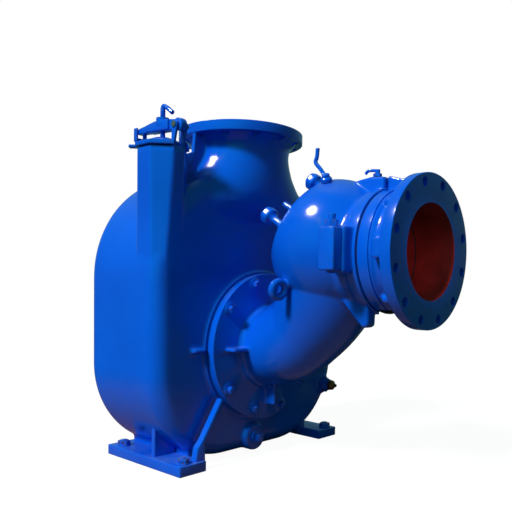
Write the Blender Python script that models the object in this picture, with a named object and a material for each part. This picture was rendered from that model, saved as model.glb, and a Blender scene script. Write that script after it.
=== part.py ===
"""Self-priming sewage pump with 10-inch flanges: casing, suction head, fill cover and bearing frame.

X runs along the suction axis, Y across the pump and Z up; the feet stand on z = 0.
Lengths along X are worked out backwards from the suction flange's face, which is x = 0 in
the pump's own frame. An empty moves that frame so that the origin lies under the middle.
"""
import bpy
import bmesh
import math
from mathutils import Matrix, Vector

GAP = 0.0003
ROOT = 0.030
ROUND = 48
SMALL_ROUND = 20

# Pipe flanges, suction and discharge alike.
FLANGE_R = 0.2032
FLANGE_THICK = 0.0302
FLANGE_BORE_R = 0.127
BOLT_CIRCLE_R = 0.181
BOLT_HOLE_R = 0.0127
BOLT_COUNT = 12
SUCTION_Z = 0.640
SHAFT_Z = 0.350
DISCHARGE_Z = 1.040

# Suction spool, between the pipe and the suction head.
SPOOL_LENGTH = 0.118
SPOOL_NECK_R = 0.158
BOTTOM_FLAT = 0.153
SPOOL_BACK_R = 0.170
SPOOL_BACK_THICK = 0.036
SPOOL_TAPER = 0.008
SPOOL_WEB_WIDTH = 0.084
TOP_WEB_RISE = 0.203
CROWN_SWELL = 0.003
VALVE_GASKET_R = 0.166
VALVE_GASKET_THICK = 0.004

# Suction head: outlet flange, bulb, bent tube and cover plate, one casting.
HEAD_REACH = 0.452
HEAD_FLANGE_R = 0.174
HEAD_FLANGE_THICK = 0.036
BULB_R = 0.196
BULB_SETBACK = 0.183
BULB_RISE = 0.018
HEAD_BORE_DEPTH = 0.200
TUBE_R = 0.128
TUBE_FOOT_R = 0.122
TUBE_THROAT_R = 0.160
COVER_R = 0.233
COVER_THICK = 0.028
COLLAR_R = 0.132
COLLAR_THICK = 0.014
COVER_GASKET_THICK = 0.003
HEAD_RIB_THICK = 0.012
HEAD_RIB_REACH = 0.040
CROWN_LENGTH = 0.104
CROWN_DEPTH = 0.060
LOW_LUG_Y = -0.084
LOW_LUG_WIDTH = 0.052
LOW_LUG_DROP = 0.030

# Hinge boss of the flap valve, on the side of the suction head.
BOSS_LENGTH = 0.049
BOSS_DEPTH = 0.085
BOSS_HEIGHT = 0.108
BOSS_OUT = 0.240
BOSS_SETBACK = 0.016
FLAP_PIN_R = 0.011
FLAP_PIN_STAND = 0.034

# Access cover on the sloping back of the bulb.
ACCESS_TILT = math.radians(60)
ACCESS_FACE = 0.090
ACCESS_COVER_R = 0.142
ACCESS_COVER_THICK = 0.018
ACCESS_GASKET_THICK = 0.003
ACCESS_OPENING_R = 0.070
KNOB_CIRCLE_R = 0.125
KNOB_R = 0.026
KNOB_HEIGHT = 0.088
KNOB_HUB_R = 0.018
KNOB_HEAD = 0.036
KNOB_STUD_R = 0.008
KNOB_COUNT = 4
ACCESS_LUG_HEIGHT = 0.060
ACCESS_LUG_R = 0.008

# Casing.
CASING_HALF = 0.412
CASING_DEPTH = 0.349
CASING_BOTTOM = 0.010
CASING_TOP = 0.900
CASING_TOP_R = 0.340
CASING_LOW_R = 0.285
CASING_EDGE_R = 0.038
SEAT_R = 0.240
SEAT_THICK = 0.010
SEAT_RIB_REACH = 0.048
SEAT_RIB_STAND = 0.022
NECK_R = 0.155
NECK_SETBACK = 0.098
DISCHARGE_BORE_DEPTH = 0.330
GUSSET_THICK = 0.014
GUSSET_R = 0.200
GUSSET_FOOT = 0.030
GUSSET_FOOT_RISE = 0.048
NECK_FOOT_Z = 0.540
NECK_FLARE = ((0.088, 0), (0.112, 0.100), (0.134, 0.200), (0.150, 0.290))
NECK_FULL_RISE = 0.350

# Fill port: an octagonal stack on the front left corner.
STACK_HALF_X = 0.078
STACK_HALF_Y = 0.066
STACK_CHAMFER = 0.048
STACK_PROUD = 0.009
STACK_LEAN = 0.015
STACK_FOOT_Z = 0.600
STACK_TOP = 0.928
STACK_BORE_R = 0.050
STACK_BORE_DEPTH = 0.230

# Fill cover, its clamp bar and screw.
FILL_GASKET_THICK = 0.003
FILL_COVER_THICK = 0.012
FILL_COVER_LAP = 0.006
FILL_EAR_REACH = 0.030
NOTCH_CLEAR = 0.003
CLAMP_PIN_RISE = 0.058
CLAMP_PIN_R = 0.006
CLAMP_KNUCKLE_R = 0.020
CLAMP_BAR_WIDTH = 0.022
CLAMP_BAR_THICK = 0.026
CLAMP_BAR_LIFT = 0.011
CLAMP_BAR_TAIL = 0.112
CLAMP_EAR_THICK = 0.008
CLAMP_EAR_R = 0.011
CLAMP_CLEAR = 0.0015
SCREW_R = 0.0065
SCREW_RISE = 0.129
SCREW_HANDLE = 0.050
SCREW_PAD_R = 0.015
LATCH_THICK = 0.006
LATCH_WIDTH = 0.016
LATCH_CLEAR = 0.022

# Feet.
FOOT_LENGTH = 0.362
FOOT_INNER = 0.264
FOOT_OUTER = 0.362
FOOT_THICK = 0.031
FOOT_OVERHANG = 0.050
FOOT_WALL = 0.026
FOOT_WEB_THICK = 0.016
FOOT_WEB_SHARE = 0.60
FOOT_HOLE_R = 0.012
FOOT_HOLE_SIDE = 0.031
FOOT_HOLE_FRONT = 0.028
FOOT_HOLE_BACK = 0.043
STRUT_THICK = 0.016

# Small fittings.
EYE_RING_R = 0.0225
EYE_BAR_R = 0.009
EYE_SHANK = 0.018
DRAIN_BOSS_R = 0.044
DRAIN_PLUG_R = 0.022
DRAIN_Y = -0.026
DRAIN_Z = 0.055
DRAIN_STAND = 0.018
DRAIN_SHANK = 0.020
RELIEF_R = 0.028
RELIEF_INSET = 0.070
RELIEF_Z = 0.186
RELIEF_STAND = 0.006
RELIEF_LENGTH = 0.028
RELIEF_SHANK = 0.016
RELIEF_BOSS_LAP = 0.006
COCK_R = 0.016
LEVER_R = 0.006
LEVER_KNEE = Vector((-0.035, -0.002, 0.041))
LEVER_TIP = Vector((0.006, 0, 0.039))
PETCOCK_SETBACK = 0.038
PETCOCK_Y = -0.020
PETCOCK_R = 0.012
PETCOCK_SPOUT = 0.040

# Back cover, bearing frame and shaft.
BACK_COVER_R = 0.225
BACK_COVER_THICK = 0.030
BACK_SEAT_LAP = 0.004
BACK_SEAT_STAND = 0.006
BACK_GASKET_THICK = 0.003
FRAME_LENGTH = 0.240
FRAME_FLANGE_R = 0.150
FRAME_FLANGE_THICK = 0.022
FRAME_R = 0.088
FRAME_RIB_THICK = 0.014
FRAME_RIB_SHARE = 0.62
OIL_SHARE = 0.66
CAP_R = 0.080
CAP_THICK = 0.018
SHAFT_R = 0.0275
SHAFT_STAND = 0.100
SHAFT_CLEAR = 0.001
KEY_WIDTH = 0.016
KEY_HEIGHT = 0.010
KEY_LENGTH = 0.070
KEY_SETBACK = 0.008
SIGHT_R = 0.024
SIGHT_SEAT = 0.005
PLUG_SHANK = 0.016
OIL_PLUG_R = 0.010
PLUG_HOLE_DEPTH = 0.020

# Places along the suction axis, from the suction face backwards.
SPOOL_BACK_X = -SPOOL_LENGTH
HEAD_FACE_X = SPOOL_BACK_X - VALVE_GASKET_THICK
COVER_FRONT_X = HEAD_FACE_X - HEAD_REACH
COVER_BACK_X = COVER_FRONT_X - COVER_THICK
SEAT_X = COVER_BACK_X - COVER_GASKET_THICK
CASING_FRONT_X = SEAT_X - SEAT_THICK
CASING_BACK_X = CASING_FRONT_X - CASING_DEPTH
BACK_COVER_X = CASING_BACK_X - BACK_GASKET_THICK
FRAME_FRONT_X = BACK_COVER_X - BACK_COVER_THICK - GAP
FRAME_BACK_X = FRAME_FRONT_X - FRAME_LENGTH
CAP_BACK_X = FRAME_BACK_X - GAP - CAP_THICK
SHAFT_END_X = CAP_BACK_X - SHAFT_STAND
NECK_X = CASING_FRONT_X - NECK_SETBACK
BULB = Vector((HEAD_FACE_X - BULB_SETBACK, 0, SUCTION_Z + BULB_RISE))
ACCESS_NORMAL = Vector((-math.sin(ACCESS_TILT), 0, math.cos(ACCESS_TILT)))
ACCESS_UP = Vector((math.cos(ACCESS_TILT), 0, math.sin(ACCESS_TILT)))
STACK_X = CASING_FRONT_X + STACK_PROUD - STACK_HALF_X
STACK_Y = -(CASING_HALF - FILL_COVER_LAP - STACK_HALF_Y)
CLAMP_PIN_X = STACK_X + STACK_HALF_X
CLAMP_PIN_Z = STACK_TOP + CLAMP_PIN_RISE
FILL_COVER_Z = STACK_TOP + FILL_GASKET_THICK
FOOT_FRONT_X = CASING_FRONT_X + FOOT_OVERHANG
FOOT_BACK_X = FOOT_FRONT_X - FOOT_LENGTH

BLUE = ("blue_enamel", (0.006, 0.10, 0.78, 1), 0.22, 0.0)
STEEL = ("plated_steel", (0.55, 0.57, 0.60, 1), 0.35, 1.0)
RUBBER = ("black_rubber", (0.02, 0.02, 0.022, 1), 0.8, 0.0)
BRASS = ("red_brass", (0.55, 0.20, 0.10, 1), 0.4, 0.8)
GLASS = ("sight_glass", (0.75, 0.55, 0.15, 1), 0.1, 0.0)


def clear_scene():
    for obj in list(bpy.data.objects):
        bpy.data.objects.remove(obj)


def finish(finish_values):
    """Give the Principled material of a finish, made once."""
    name, colour, roughness, metallic = finish_values
    material = bpy.data.materials.get(name)
    if material is None:
        material = bpy.data.materials.new(name)
        material.use_nodes = True
        shader = material.node_tree.nodes["Principled BSDF"]
        shader.inputs["Base Color"].default_value = colour
        shader.inputs["Roughness"].default_value = roughness
        shader.inputs["Metallic"].default_value = metallic
        material.diffuse_color = colour
    return material


def add_object(name, bm, look=BLUE, at=(0, 0, 0), along=None, smooth_below=40):
    """Close a bmesh into an object of the pump, with its own Z axis turned to a direction."""
    bmesh.ops.remove_doubles(bm, verts=bm.verts, dist=1e-6)
    bmesh.ops.recalc_face_normals(bm, faces=bm.faces)
    mesh = bpy.data.meshes.new(name)
    bm.to_mesh(mesh)
    bm.free()
    mesh.shade_smooth()
    mesh.set_sharp_from_angle(angle=math.radians(smooth_below))
    mesh.materials.append(finish(look))
    obj = bpy.data.objects.new(name, mesh)
    bpy.context.collection.objects.link(obj)
    obj.parent = bpy.data.objects["pump"]
    obj.location = at
    if along is not None:
        obj.rotation_mode = "QUATERNION"
        obj.rotation_quaternion = Vector(along).to_track_quat("Z", "Y")
    return obj


def hide_tool(obj):
    obj.hide_render = True
    obj.display_type = "WIRE"
    return obj


def combine(obj, tools, operation):
    """Join or cut an object with all its tools in one Boolean step."""
    group = bpy.data.collections.new(obj.name + "_" + operation.lower())
    bpy.context.scene.collection.children.link(group)
    for tool in tools:
        hide_tool(tool)
        group.objects.link(tool)
    modifier = obj.modifiers.new(group.name, "BOOLEAN")
    modifier.operation = operation
    modifier.operand_type = "COLLECTION"
    modifier.collection = group
    modifier.solver = "EXACT"
    return obj


def fuse(obj, tools):
    return combine(obj, tools, "UNION")


def cut(obj, tools):
    return combine(obj, tools, "DIFFERENCE")


def turned(name, profile, at, along=(0, 0, 1), look=BLUE, steps=ROUND):
    """Spin a profile of (radius, height) points; it closes on itself unless it starts on the axis."""
    bm = bmesh.new()
    verts = [bm.verts.new((r, 0, h)) for r, h in profile]
    pairs = list(zip(verts, verts[1:]))
    if profile[0][0] > 0:
        pairs.append((verts[-1], verts[0]))
    edges = [bm.edges.new(pair) for pair in pairs]
    bmesh.ops.spin(bm, geom=verts + edges, cent=(0, 0, 0), axis=(0, 0, 1), dvec=(0, 0, 0),
                   angle=math.tau, steps=steps, use_merge=True, use_duplicate=False)
    return add_object(name, bm, look, at, along)


def disc(name, radius, height, at, along=(0, 0, 1), look=BLUE, steps=ROUND):
    """Solid round bar that starts at a point and runs along a direction."""
    bm = bmesh.new()
    bmesh.ops.create_cone(bm, cap_ends=True, segments=steps, radius1=radius, radius2=radius, depth=height,
                          matrix=Matrix.Translation((0, 0, height / 2)))
    return add_object(name, bm, look, at, along)


def ring(name, inner, outer, height, at, along=(0, 0, 1), look=BLUE, steps=ROUND):
    profile = [(inner, 0), (outer, 0), (outer, height), (inner, height)]
    return turned(name, profile, at, along, look, steps)


def block(name, low, high, look=BLUE):
    """Rectangular block between two corners."""
    low, high = Vector(low), Vector(high)
    bm = bmesh.new()
    bmesh.ops.create_cube(bm, size=1)
    size = high - low
    bmesh.ops.scale(bm, vec=size, verts=bm.verts)
    return add_object(name, bm, look, (low + high) / 2)


def prism(name, outline, start, depth, axis, look=BLUE):
    """Extrude an outline of (first, second) points along X, Y or Z from a start."""
    places = {
        "x": lambda a, b: (start, a, b),
        "y": lambda a, b: (a, start, b),
        "z": lambda a, b: (a, b, start),
    }
    way = {"x": (depth, 0, 0), "y": (0, depth, 0), "z": (0, 0, depth)}[axis]
    bm = bmesh.new()
    face = bm.faces.new([bm.verts.new(places[axis](a, b)) for a, b in outline])
    result = bmesh.ops.extrude_face_region(bm, geom=[face])
    moved = [v for v in result["geom"] if isinstance(v, bmesh.types.BMVert)]
    bmesh.ops.translate(bm, vec=way, verts=moved)
    return add_object(name, bm, look)


def arc(centre, radius, start, end, steps):
    """Points on an arc, in degrees, both ends included."""
    points = []
    for i in range(steps + 1):
        angle = math.radians(start + (end - start) * i / steps)
        points.append((centre[0] + radius * math.cos(angle), centre[1] + radius * math.sin(angle)))
    return points


def bolt_holes(name, at, along, circle, radius, depth, count, steps=12):
    """Ring of straight holes that straddle the centre lines."""
    bm = bmesh.new()
    for i in range(count):
        angle = math.tau * (i + 0.5) / count
        place = Matrix.Translation((circle * math.cos(angle), circle * math.sin(angle), 0))
        bmesh.ops.create_cone(bm, cap_ends=True, segments=steps, radius1=radius, radius2=radius,
                              depth=depth, matrix=place)
    return add_object(name, bm, BLUE, at, along)


def swept(name, points, radii, look=BLUE, steps=32):
    """Tube through points in an XZ plane, with a radius at each, and flat ends."""
    bm = bmesh.new()
    rings = []
    for i, (point, radius) in enumerate(zip(points, radii)):
        before = points[max(i - 1, 0)]
        after = points[min(i + 1, len(points) - 1)]
        frame = (after - before).normalized().to_track_quat("Z", "Y").to_matrix().to_4x4()
        made = bmesh.ops.create_circle(bm, segments=steps, radius=radius,
                                       matrix=Matrix.Translation(point) @ frame)
        rings.append(made["verts"])
    for lower, upper in zip(rings, rings[1:]):
        edges = set()
        for loop in (lower, upper):
            loop_set = set(loop)
            edges.update(e for v in loop for e in v.link_edges if e.other_vert(v) in loop_set)
        bmesh.ops.bridge_loops(bm, edges=list(edges))
    for loop in (rings[0], rings[-1]):
        bmesh.ops.contextual_create(bm, geom=loop)
    return add_object(name, bm, look)


def bezier(p0, p1, p2, p3, count):
    points = []
    for i in range(count + 1):
        t = i / count
        s = 1 - t
        points.append(p0 * s ** 3 + p1 * 3 * s * s * t + p2 * 3 * s * t * t + p3 * t ** 3)
    return points


def make_spool():
    """Short flanged spool: a pipe flange in front, a thinner one behind and a web on top."""
    back = -SPOOL_LENGTH
    profile = [
        (FLANGE_BORE_R, 0), (FLANGE_R, 0), (FLANGE_R, -FLANGE_THICK),
        (SPOOL_NECK_R, -FLANGE_THICK - SPOOL_TAPER), (SPOOL_NECK_R, back + SPOOL_BACK_THICK + SPOOL_TAPER / 2),
        (SPOOL_BACK_R, back + SPOOL_BACK_THICK), (SPOOL_BACK_R, back), (FLANGE_BORE_R, back),
    ]
    spool = turned("suction_spool", profile, (0, 0, SUCTION_Z), (1, 0, 0))
    half = SPOOL_WEB_WIDTH / 2
    web_low = SUCTION_Z + SPOOL_NECK_R * 0.9
    web_high = SUCTION_Z + TOP_WEB_RISE
    outline = [(back, web_low), (-FLANGE_THICK / 2, web_low), (-FLANGE_THICK / 2, web_high - 0.024),
               (back + SPOOL_BACK_THICK, web_high - 0.011), (back, web_high)]
    web = prism("spool_web", outline, -half, SPOOL_WEB_WIDTH, "y")
    lug = block("spool_lug", (back + SPOOL_BACK_THICK + 0.014, -SPOOL_NECK_R - 0.018, SUCTION_Z - 0.024),
                (-FLANGE_THICK * 1.3, -SPOOL_NECK_R * 0.9, SUCTION_Z + 0.030))
    fuse(spool, [web, lug])
    holes = bolt_holes("spool_holes", (-FLANGE_THICK / 2, 0, SUCTION_Z), (1, 0, 0),
                       BOLT_CIRCLE_R, BOLT_HOLE_R, FLANGE_THICK * 1.6, BOLT_COUNT)
    flat = block("spool_flat", (back - 0.01, -SPOOL_BACK_R, SUCTION_Z - 2 * BOTTOM_FLAT),
                 (-FLANGE_THICK - SPOOL_TAPER, SPOOL_BACK_R, SUCTION_Z - BOTTOM_FLAT))
    cut(spool, [holes, flat])


def make_valve_gasket():
    ring("valve_gasket", FLANGE_BORE_R, VALVE_GASKET_R, VALVE_GASKET_THICK - 2 * GAP,
         (HEAD_FACE_X + GAP, 0, SUCTION_Z), (1, 0, 0), RUBBER)


def tube_path():
    """Centre line of the bent tube, from the cover plate up into the bulb."""
    start = Vector((COVER_FRONT_X - COVER_THICK / 2, 0, SHAFT_Z))
    span = BULB - start
    return bezier(start, start + Vector((span.x * 0.52, 0, 0)),
                  BULB - Vector((span.x * 0.06, 0, span.z * 0.62)), BULB, 12)


def make_suction_head():
    """Cover plate, bent tube, bulb and outlet flange as one casting."""
    plate = disc("suction_head", COVER_R, COVER_THICK, (COVER_BACK_X, 0, SHAFT_Z), (1, 0, 0))
    collar = disc("head_collar", COLLAR_R, COVER_THICK / 2 + COLLAR_THICK,
                  (COVER_FRONT_X - COVER_THICK / 2, 0, SHAFT_Z), (1, 0, 0), steps=44)
    path = tube_path()
    radii = []
    for i in range(len(path)):
        t = i / (len(path) - 1)
        swell = math.sin(min(t / 0.3, 1) * math.pi / 2)
        rise = max(t - 0.45, 0) / 0.55
        radii.append(TUBE_FOOT_R + (TUBE_R - TUBE_FOOT_R) * swell + (TUBE_THROAT_R - TUBE_R) * rise ** 1.3)
    tube = swept("head_tube", path, radii)
    bm = bmesh.new()
    bmesh.ops.create_uvsphere(bm, u_segments=36, v_segments=18, radius=BULB_R)
    bulb = add_object("head_bulb", bm, BLUE, BULB)
    throat = disc("head_throat", HEAD_FLANGE_R - 0.014, BULB_SETBACK - 0.004,
                  (BULB.x, 0, SUCTION_Z), (1, 0, 0), steps=44)
    flange = disc("head_flange", HEAD_FLANGE_R, HEAD_FLANGE_THICK,
                  (HEAD_FACE_X - HEAD_FLANGE_THICK, 0, SUCTION_Z), (1, 0, 0))
    cut(flange, [block("head_flange_flat", (HEAD_FACE_X - 2 * HEAD_FLANGE_THICK, -HEAD_FLANGE_R,
                                            SUCTION_Z - 2 * BOTTOM_FLAT),
                       (HEAD_FACE_X + 0.01, HEAD_FLANGE_R, SUCTION_Z - BOTTOM_FLAT))])
    boss = block("flap_boss", (flap_pin_x() - BOSS_LENGTH / 2, -BOSS_OUT, SUCTION_Z - BOSS_HEIGHT / 2),
                 (flap_pin_x() + BOSS_LENGTH / 2, -BOSS_OUT + BOSS_DEPTH, SUCTION_Z + BOSS_HEIGHT / 2))
    top = SUCTION_Z + TOP_WEB_RISE
    crown_front = HEAD_FACE_X - 0.002
    outline = [(crown_front - CROWN_LENGTH, top - CROWN_DEPTH), (crown_front, top - CROWN_DEPTH),
               (crown_front, top), (crown_front - CROWN_LENGTH * 0.46, top + CROWN_SWELL),
               (crown_front - CROWN_LENGTH * 0.94, top - 0.004)]
    crown = prism("head_crown", outline, -SPOOL_WEB_WIDTH / 2, SPOOL_WEB_WIDTH, "y")
    low = SUCTION_Z - HEAD_FLANGE_R
    half = LOW_LUG_WIDTH / 2
    low_lug = block("head_low_lug", (HEAD_FACE_X - HEAD_FLANGE_THICK, LOW_LUG_Y - half, low - LOW_LUG_DROP),
                    (HEAD_FACE_X - 0.003, LOW_LUG_Y + half, low + 0.070))
    half = HEAD_RIB_THICK / 2
    rib_back = COVER_FRONT_X - COVER_THICK / 2
    rib = block("head_rib", (rib_back, -COVER_R * 0.78, SHAFT_Z - half),
                (COVER_FRONT_X + HEAD_RIB_REACH, -COLLAR_R * 0.8, SHAFT_Z + half))
    low_rib = block("head_low_rib", (rib_back, -half, SHAFT_Z - COVER_R * 0.78),
                    (COVER_FRONT_X + HEAD_RIB_REACH * 0.9, half, SHAFT_Z - COLLAR_R * 0.8))
    fuse(plate, [collar, tube, bulb, throat, flange, boss, crown, low_lug, rib, low_rib])
    bore = disc("head_bore", FLANGE_BORE_R, HEAD_BORE_DEPTH + BULB_R - BULB_SETBACK + 0.01,
                (HEAD_FACE_X - HEAD_BORE_DEPTH, 0, SUCTION_Z), (1, 0, 0), steps=44)
    flat = disc("access_flat", BULB_R, BULB_R, BULB + ACCESS_NORMAL * ACCESS_FACE, ACCESS_NORMAL)
    pin_hole = disc("flap_pin_hole", FLAP_PIN_R + GAP, BOSS_HEIGHT + 0.02,
                    (flap_pin_x(), flap_pin_y(), SUCTION_Z - BOSS_HEIGHT / 2 - 0.01), steps=SMALL_ROUND)
    studs = []
    for i in range(KNOB_COUNT):
        studs.append(disc("knob_hole_%d" % i, KNOB_STUD_R + GAP, 0.060,
                          access_point(i, -0.030), ACCESS_NORMAL, steps=12))
    eye = disc("eye_hole", EYE_BAR_R + GAP, EYE_SHANK * 2, eye_foot(-EYE_SHANK - 0.002), eye_way(),
               steps=SMALL_ROUND)
    cut(plate, [bore, flat, pin_hole, eye] + studs)


def flap_pin_x():
    return HEAD_FACE_X - BOSS_SETBACK - BOSS_LENGTH / 2


def flap_pin_y():
    return -BOSS_OUT + BOSS_LENGTH / 2


def access_point(i, height):
    """Place of a knob's stud on the access cover's bolt circle, above the pad's face."""
    angle = math.tau * i / KNOB_COUNT
    spoke = ACCESS_UP * math.cos(angle) + Vector((0, -1, 0)) * math.sin(angle)
    return BULB + ACCESS_NORMAL * (ACCESS_FACE + height) + spoke * KNOB_CIRCLE_R


def make_access_cover():
    """Gasket, cover with its pull lug, and hand knobs on the flat back of the bulb."""
    face = BULB + ACCESS_NORMAL * ACCESS_FACE
    gasket = ring("access_gasket", ACCESS_OPENING_R, ACCESS_COVER_R - 0.003,
                  ACCESS_GASKET_THICK - 2 * GAP, face + ACCESS_NORMAL * GAP, ACCESS_NORMAL, RUBBER)
    cover = disc("access_cover", ACCESS_COVER_R, ACCESS_COVER_THICK,
                 face + ACCESS_NORMAL * ACCESS_GASKET_THICK, ACCESS_NORMAL)
    lug_way = (ACCESS_UP * 0.42 + Vector((0, -0.91, 0))).normalized()
    lug_foot = face + ACCESS_NORMAL * (ACCESS_COVER_THICK / 2) + lug_way * KNOB_CIRCLE_R
    lug = disc("access_lug", ACCESS_LUG_R, ACCESS_LUG_HEIGHT, lug_foot, ACCESS_NORMAL, steps=12)
    fuse(cover, [lug])
    for piece in (gasket, cover):
        holes = []
        for i in range(KNOB_COUNT):
            holes.append(disc(piece.name + "_hole_%d" % i, KNOB_STUD_R + GAP, 0.05,
                              access_point(i, -0.010), ACCESS_NORMAL, steps=12))
        cut(piece, holes)
    top = ACCESS_GASKET_THICK + ACCESS_COVER_THICK + GAP
    stem = KNOB_HEIGHT - KNOB_HEAD
    for i in range(KNOB_COUNT):
        profile = [(0, -0.040), (KNOB_STUD_R, -0.040), (KNOB_STUD_R, 0), (KNOB_HUB_R, 0), (KNOB_HUB_R, 0.012),
                   (KNOB_R * 0.4, 0.014), (KNOB_R * 0.4, stem), (KNOB_R, stem + 0.004),
                   (KNOB_R, KNOB_HEIGHT - 0.005), (KNOB_R - 0.006, KNOB_HEIGHT), (0, KNOB_HEIGHT)]
        turned("hand_knob_%d" % (i + 1), profile, access_point(i, top), ACCESS_NORMAL, steps=16)


def make_flap_pin():
    """Vertical hinge pin of the flap valve, with its head on top of the boss."""
    top = SUCTION_Z + BOSS_HEIGHT / 2
    profile = [(0, -BOSS_HEIGHT + 0.004), (FLAP_PIN_R, -BOSS_HEIGHT + 0.004), (FLAP_PIN_R, GAP),
               (FLAP_PIN_R * 1.7, GAP), (FLAP_PIN_R * 1.7, 0.016), (FLAP_PIN_R * 0.9, 0.016),
               (FLAP_PIN_R * 0.9, FLAP_PIN_STAND), (0, FLAP_PIN_STAND)]
    turned("flap_hinge_pin", profile, (flap_pin_x(), flap_pin_y(), top), look=STEEL, steps=16)


def eye_way():
    """Direction in which the lifting eye stands off the bulb: to the left and down towards the waist."""
    return Vector((-0.27, -0.80, -0.535)).normalized()


def eye_foot(height):
    """Point on the eye's axis, above the bulb's surface."""
    return BULB + eye_way() * (BULB_R + height)


def make_lifting_eye():
    """Shouldered eye bolt on the side of the tube."""
    foot = eye_foot(GAP)
    profile = [(0, -EYE_SHANK), (EYE_BAR_R, -EYE_SHANK), (EYE_BAR_R, 0), (EYE_BAR_R * 1.7, 0),
               (EYE_BAR_R * 1.7, 0.005), (EYE_BAR_R * 1.1, 0.007), (EYE_BAR_R * 1.1, 0.016), (0, 0.016)]
    eye = turned("lifting_eye", profile, foot, eye_way(), steps=16)
    loop = [(EYE_RING_R + EYE_BAR_R * math.cos(a), EYE_BAR_R * math.sin(a))
            for a in [math.tau * k / 8 for k in range(8)]]
    facing = Vector((1, 0, 0)) - eye_way() * eye_way().x
    torus = turned("eye_loop", loop, foot + eye_way() * (0.012 + EYE_RING_R), facing, steps=24)
    fuse(eye, [torus])


def make_cover_gasket():
    ring("cover_gasket", COLLAR_R, COVER_R - 0.004, COVER_GASKET_THICK - 2 * GAP,
         (SEAT_X + GAP, 0, SHAFT_Z), (1, 0, 0), RUBBER)


def casing_outline():
    """Body outline seen along the shaft: flat sides, wide round shoulders, rounder bottom."""
    low = arc((CASING_HALF - CASING_LOW_R, CASING_BOTTOM + CASING_LOW_R), CASING_LOW_R, -90, 0, 9)
    high = arc((CASING_HALF - CASING_TOP_R, CASING_TOP - CASING_TOP_R), CASING_TOP_R, 0, 90, 11)
    right = low + high
    return right + [(-y, z) for y, z in reversed(right)]


def shoulder_height(y):
    """Height of the body's top at a distance from the middle."""
    across = max(abs(y) - (CASING_HALF - CASING_TOP_R), 0)
    return CASING_TOP - CASING_TOP_R + math.sqrt(CASING_TOP_R ** 2 - across ** 2)


def belly_height(y):
    across = max(abs(y) - (CASING_HALF - CASING_LOW_R), 0)
    return CASING_BOTTOM + CASING_LOW_R - math.sqrt(CASING_LOW_R ** 2 - across ** 2)


def make_body():
    bm = bmesh.new()
    face = bm.faces.new([bm.verts.new((CASING_BACK_X, y, z)) for y, z in casing_outline()])
    result = bmesh.ops.extrude_face_region(bm, geom=[face])
    moved = [v for v in result["geom"] if isinstance(v, bmesh.types.BMVert)]
    bmesh.ops.translate(bm, vec=(CASING_DEPTH, 0, 0), verts=moved)
    bm.faces.ensure_lookup_table()
    rims = []
    for x in (CASING_BACK_X, CASING_FRONT_X):
        rims += [e for e in bm.edges if all(abs(v.co.x - x) < 1e-6 for v in e.verts)]
    bmesh.ops.bevel(bm, geom=rims, offset=CASING_EDGE_R, segments=4, profile=0.5,
                    affect="EDGES", material=-1)
    return add_object("casing", bm)


def stack_outline(grow=0.0):
    """Octagon of the fill stack, grown by a lap on every side."""
    a = STACK_HALF_X + grow
    b = STACK_HALF_Y + grow
    c = STACK_CHAMFER + grow * 0.586
    corners = [(a, -b + c), (a, b - c), (a - c, b), (-a + c, b),
               (-a, b - c), (-a, -b + c), (-a + c, -b), (a - c, -b)]
    return [(STACK_X + x, STACK_Y + y) for x, y in corners]


def make_stack():
    """Octagonal stack whose front facets lean back into the body towards their foot."""
    stack = prism("stack", stack_outline(), STACK_FOOT_Z, STACK_TOP - STACK_FOOT_Z, "z")
    for vertex in stack.data.vertices:
        if vertex.co.z < STACK_TOP - 0.001 and vertex.co.x > STACK_X:
            vertex.co.x -= STACK_LEAN
    return stack


def make_foot(side):
    """Pad, wall and web under one side of the body."""
    name = "left" if side < 0 else "right"

    def between(low_y, high_y):
        return min(side * low_y, side * high_y), max(side * low_y, side * high_y)

    low, high = between(FOOT_INNER, FOOT_OUTER)
    pad = block("foot_pad_" + name, (FOOT_BACK_X, low, 0), (FOOT_FRONT_X, high, FOOT_THICK))
    low, high = between(FOOT_INNER + 0.004 - FOOT_WALL, FOOT_INNER + 0.004)
    wall = block("foot_wall_" + name, (FOOT_BACK_X - 0.004, low, FOOT_THICK * 0.3),
                 (CASING_FRONT_X - ROOT, high, belly_height(FOOT_INNER) + ROOT))
    low, high = between(FOOT_INNER + 0.006, FOOT_OUTER - 0.014)
    x = FOOT_BACK_X + FOOT_LENGTH * FOOT_WEB_SHARE
    web = block("foot_web_" + name, (x - FOOT_WEB_THICK / 2, low, FOOT_THICK / 2),
                (x + FOOT_WEB_THICK / 2, high, belly_height(FOOT_OUTER - 0.014) + 0.026))
    return [pad, wall, web]


def make_strut():
    """Bent rib from the cover's seat down to the front end of the left foot."""
    half = STRUT_THICK / 2
    knee_y = -(FOOT_INNER + 0.002)
    top = Vector((-SEAT_R * 0.80, SHAFT_Z - SEAT_R * 0.62))
    knee = Vector((knee_y, 0.085))
    slope = (knee - top).normalized()
    across = Vector((slope.y, -slope.x)) * half
    outline = [top - across, knee - across, Vector((knee_y + half, FOOT_THICK / 2)),
               Vector((knee_y - half, FOOT_THICK / 2)), knee + across, top + across]
    return prism("strut", [tuple(p) for p in outline], CASING_FRONT_X - ROOT,
                 ROOT + FOOT_OVERHANG - 0.004, "x")


def make_gusset(side, name):
    """Upright rib from under the discharge flange down to the shoulder, with a wider foot."""
    under = DISCHARGE_Z - FLANGE_THICK / 2
    foot_y = GUSSET_R + GUSSET_FOOT
    foot_z = shoulder_height(foot_y)
    inner_y = NECK_R * 0.8
    outline = [(side * inner_y, under), (side * GUSSET_R, under),
               (side * GUSSET_R, foot_z + GUSSET_FOOT_RISE), (side * foot_y, foot_z + GUSSET_FOOT),
               (side * foot_y, foot_z - ROOT), (side * inner_y, foot_z - ROOT)]
    return prism("gusset_" + name, outline, NECK_X - GUSSET_THICK / 2, GUSSET_THICK, "x")


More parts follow.
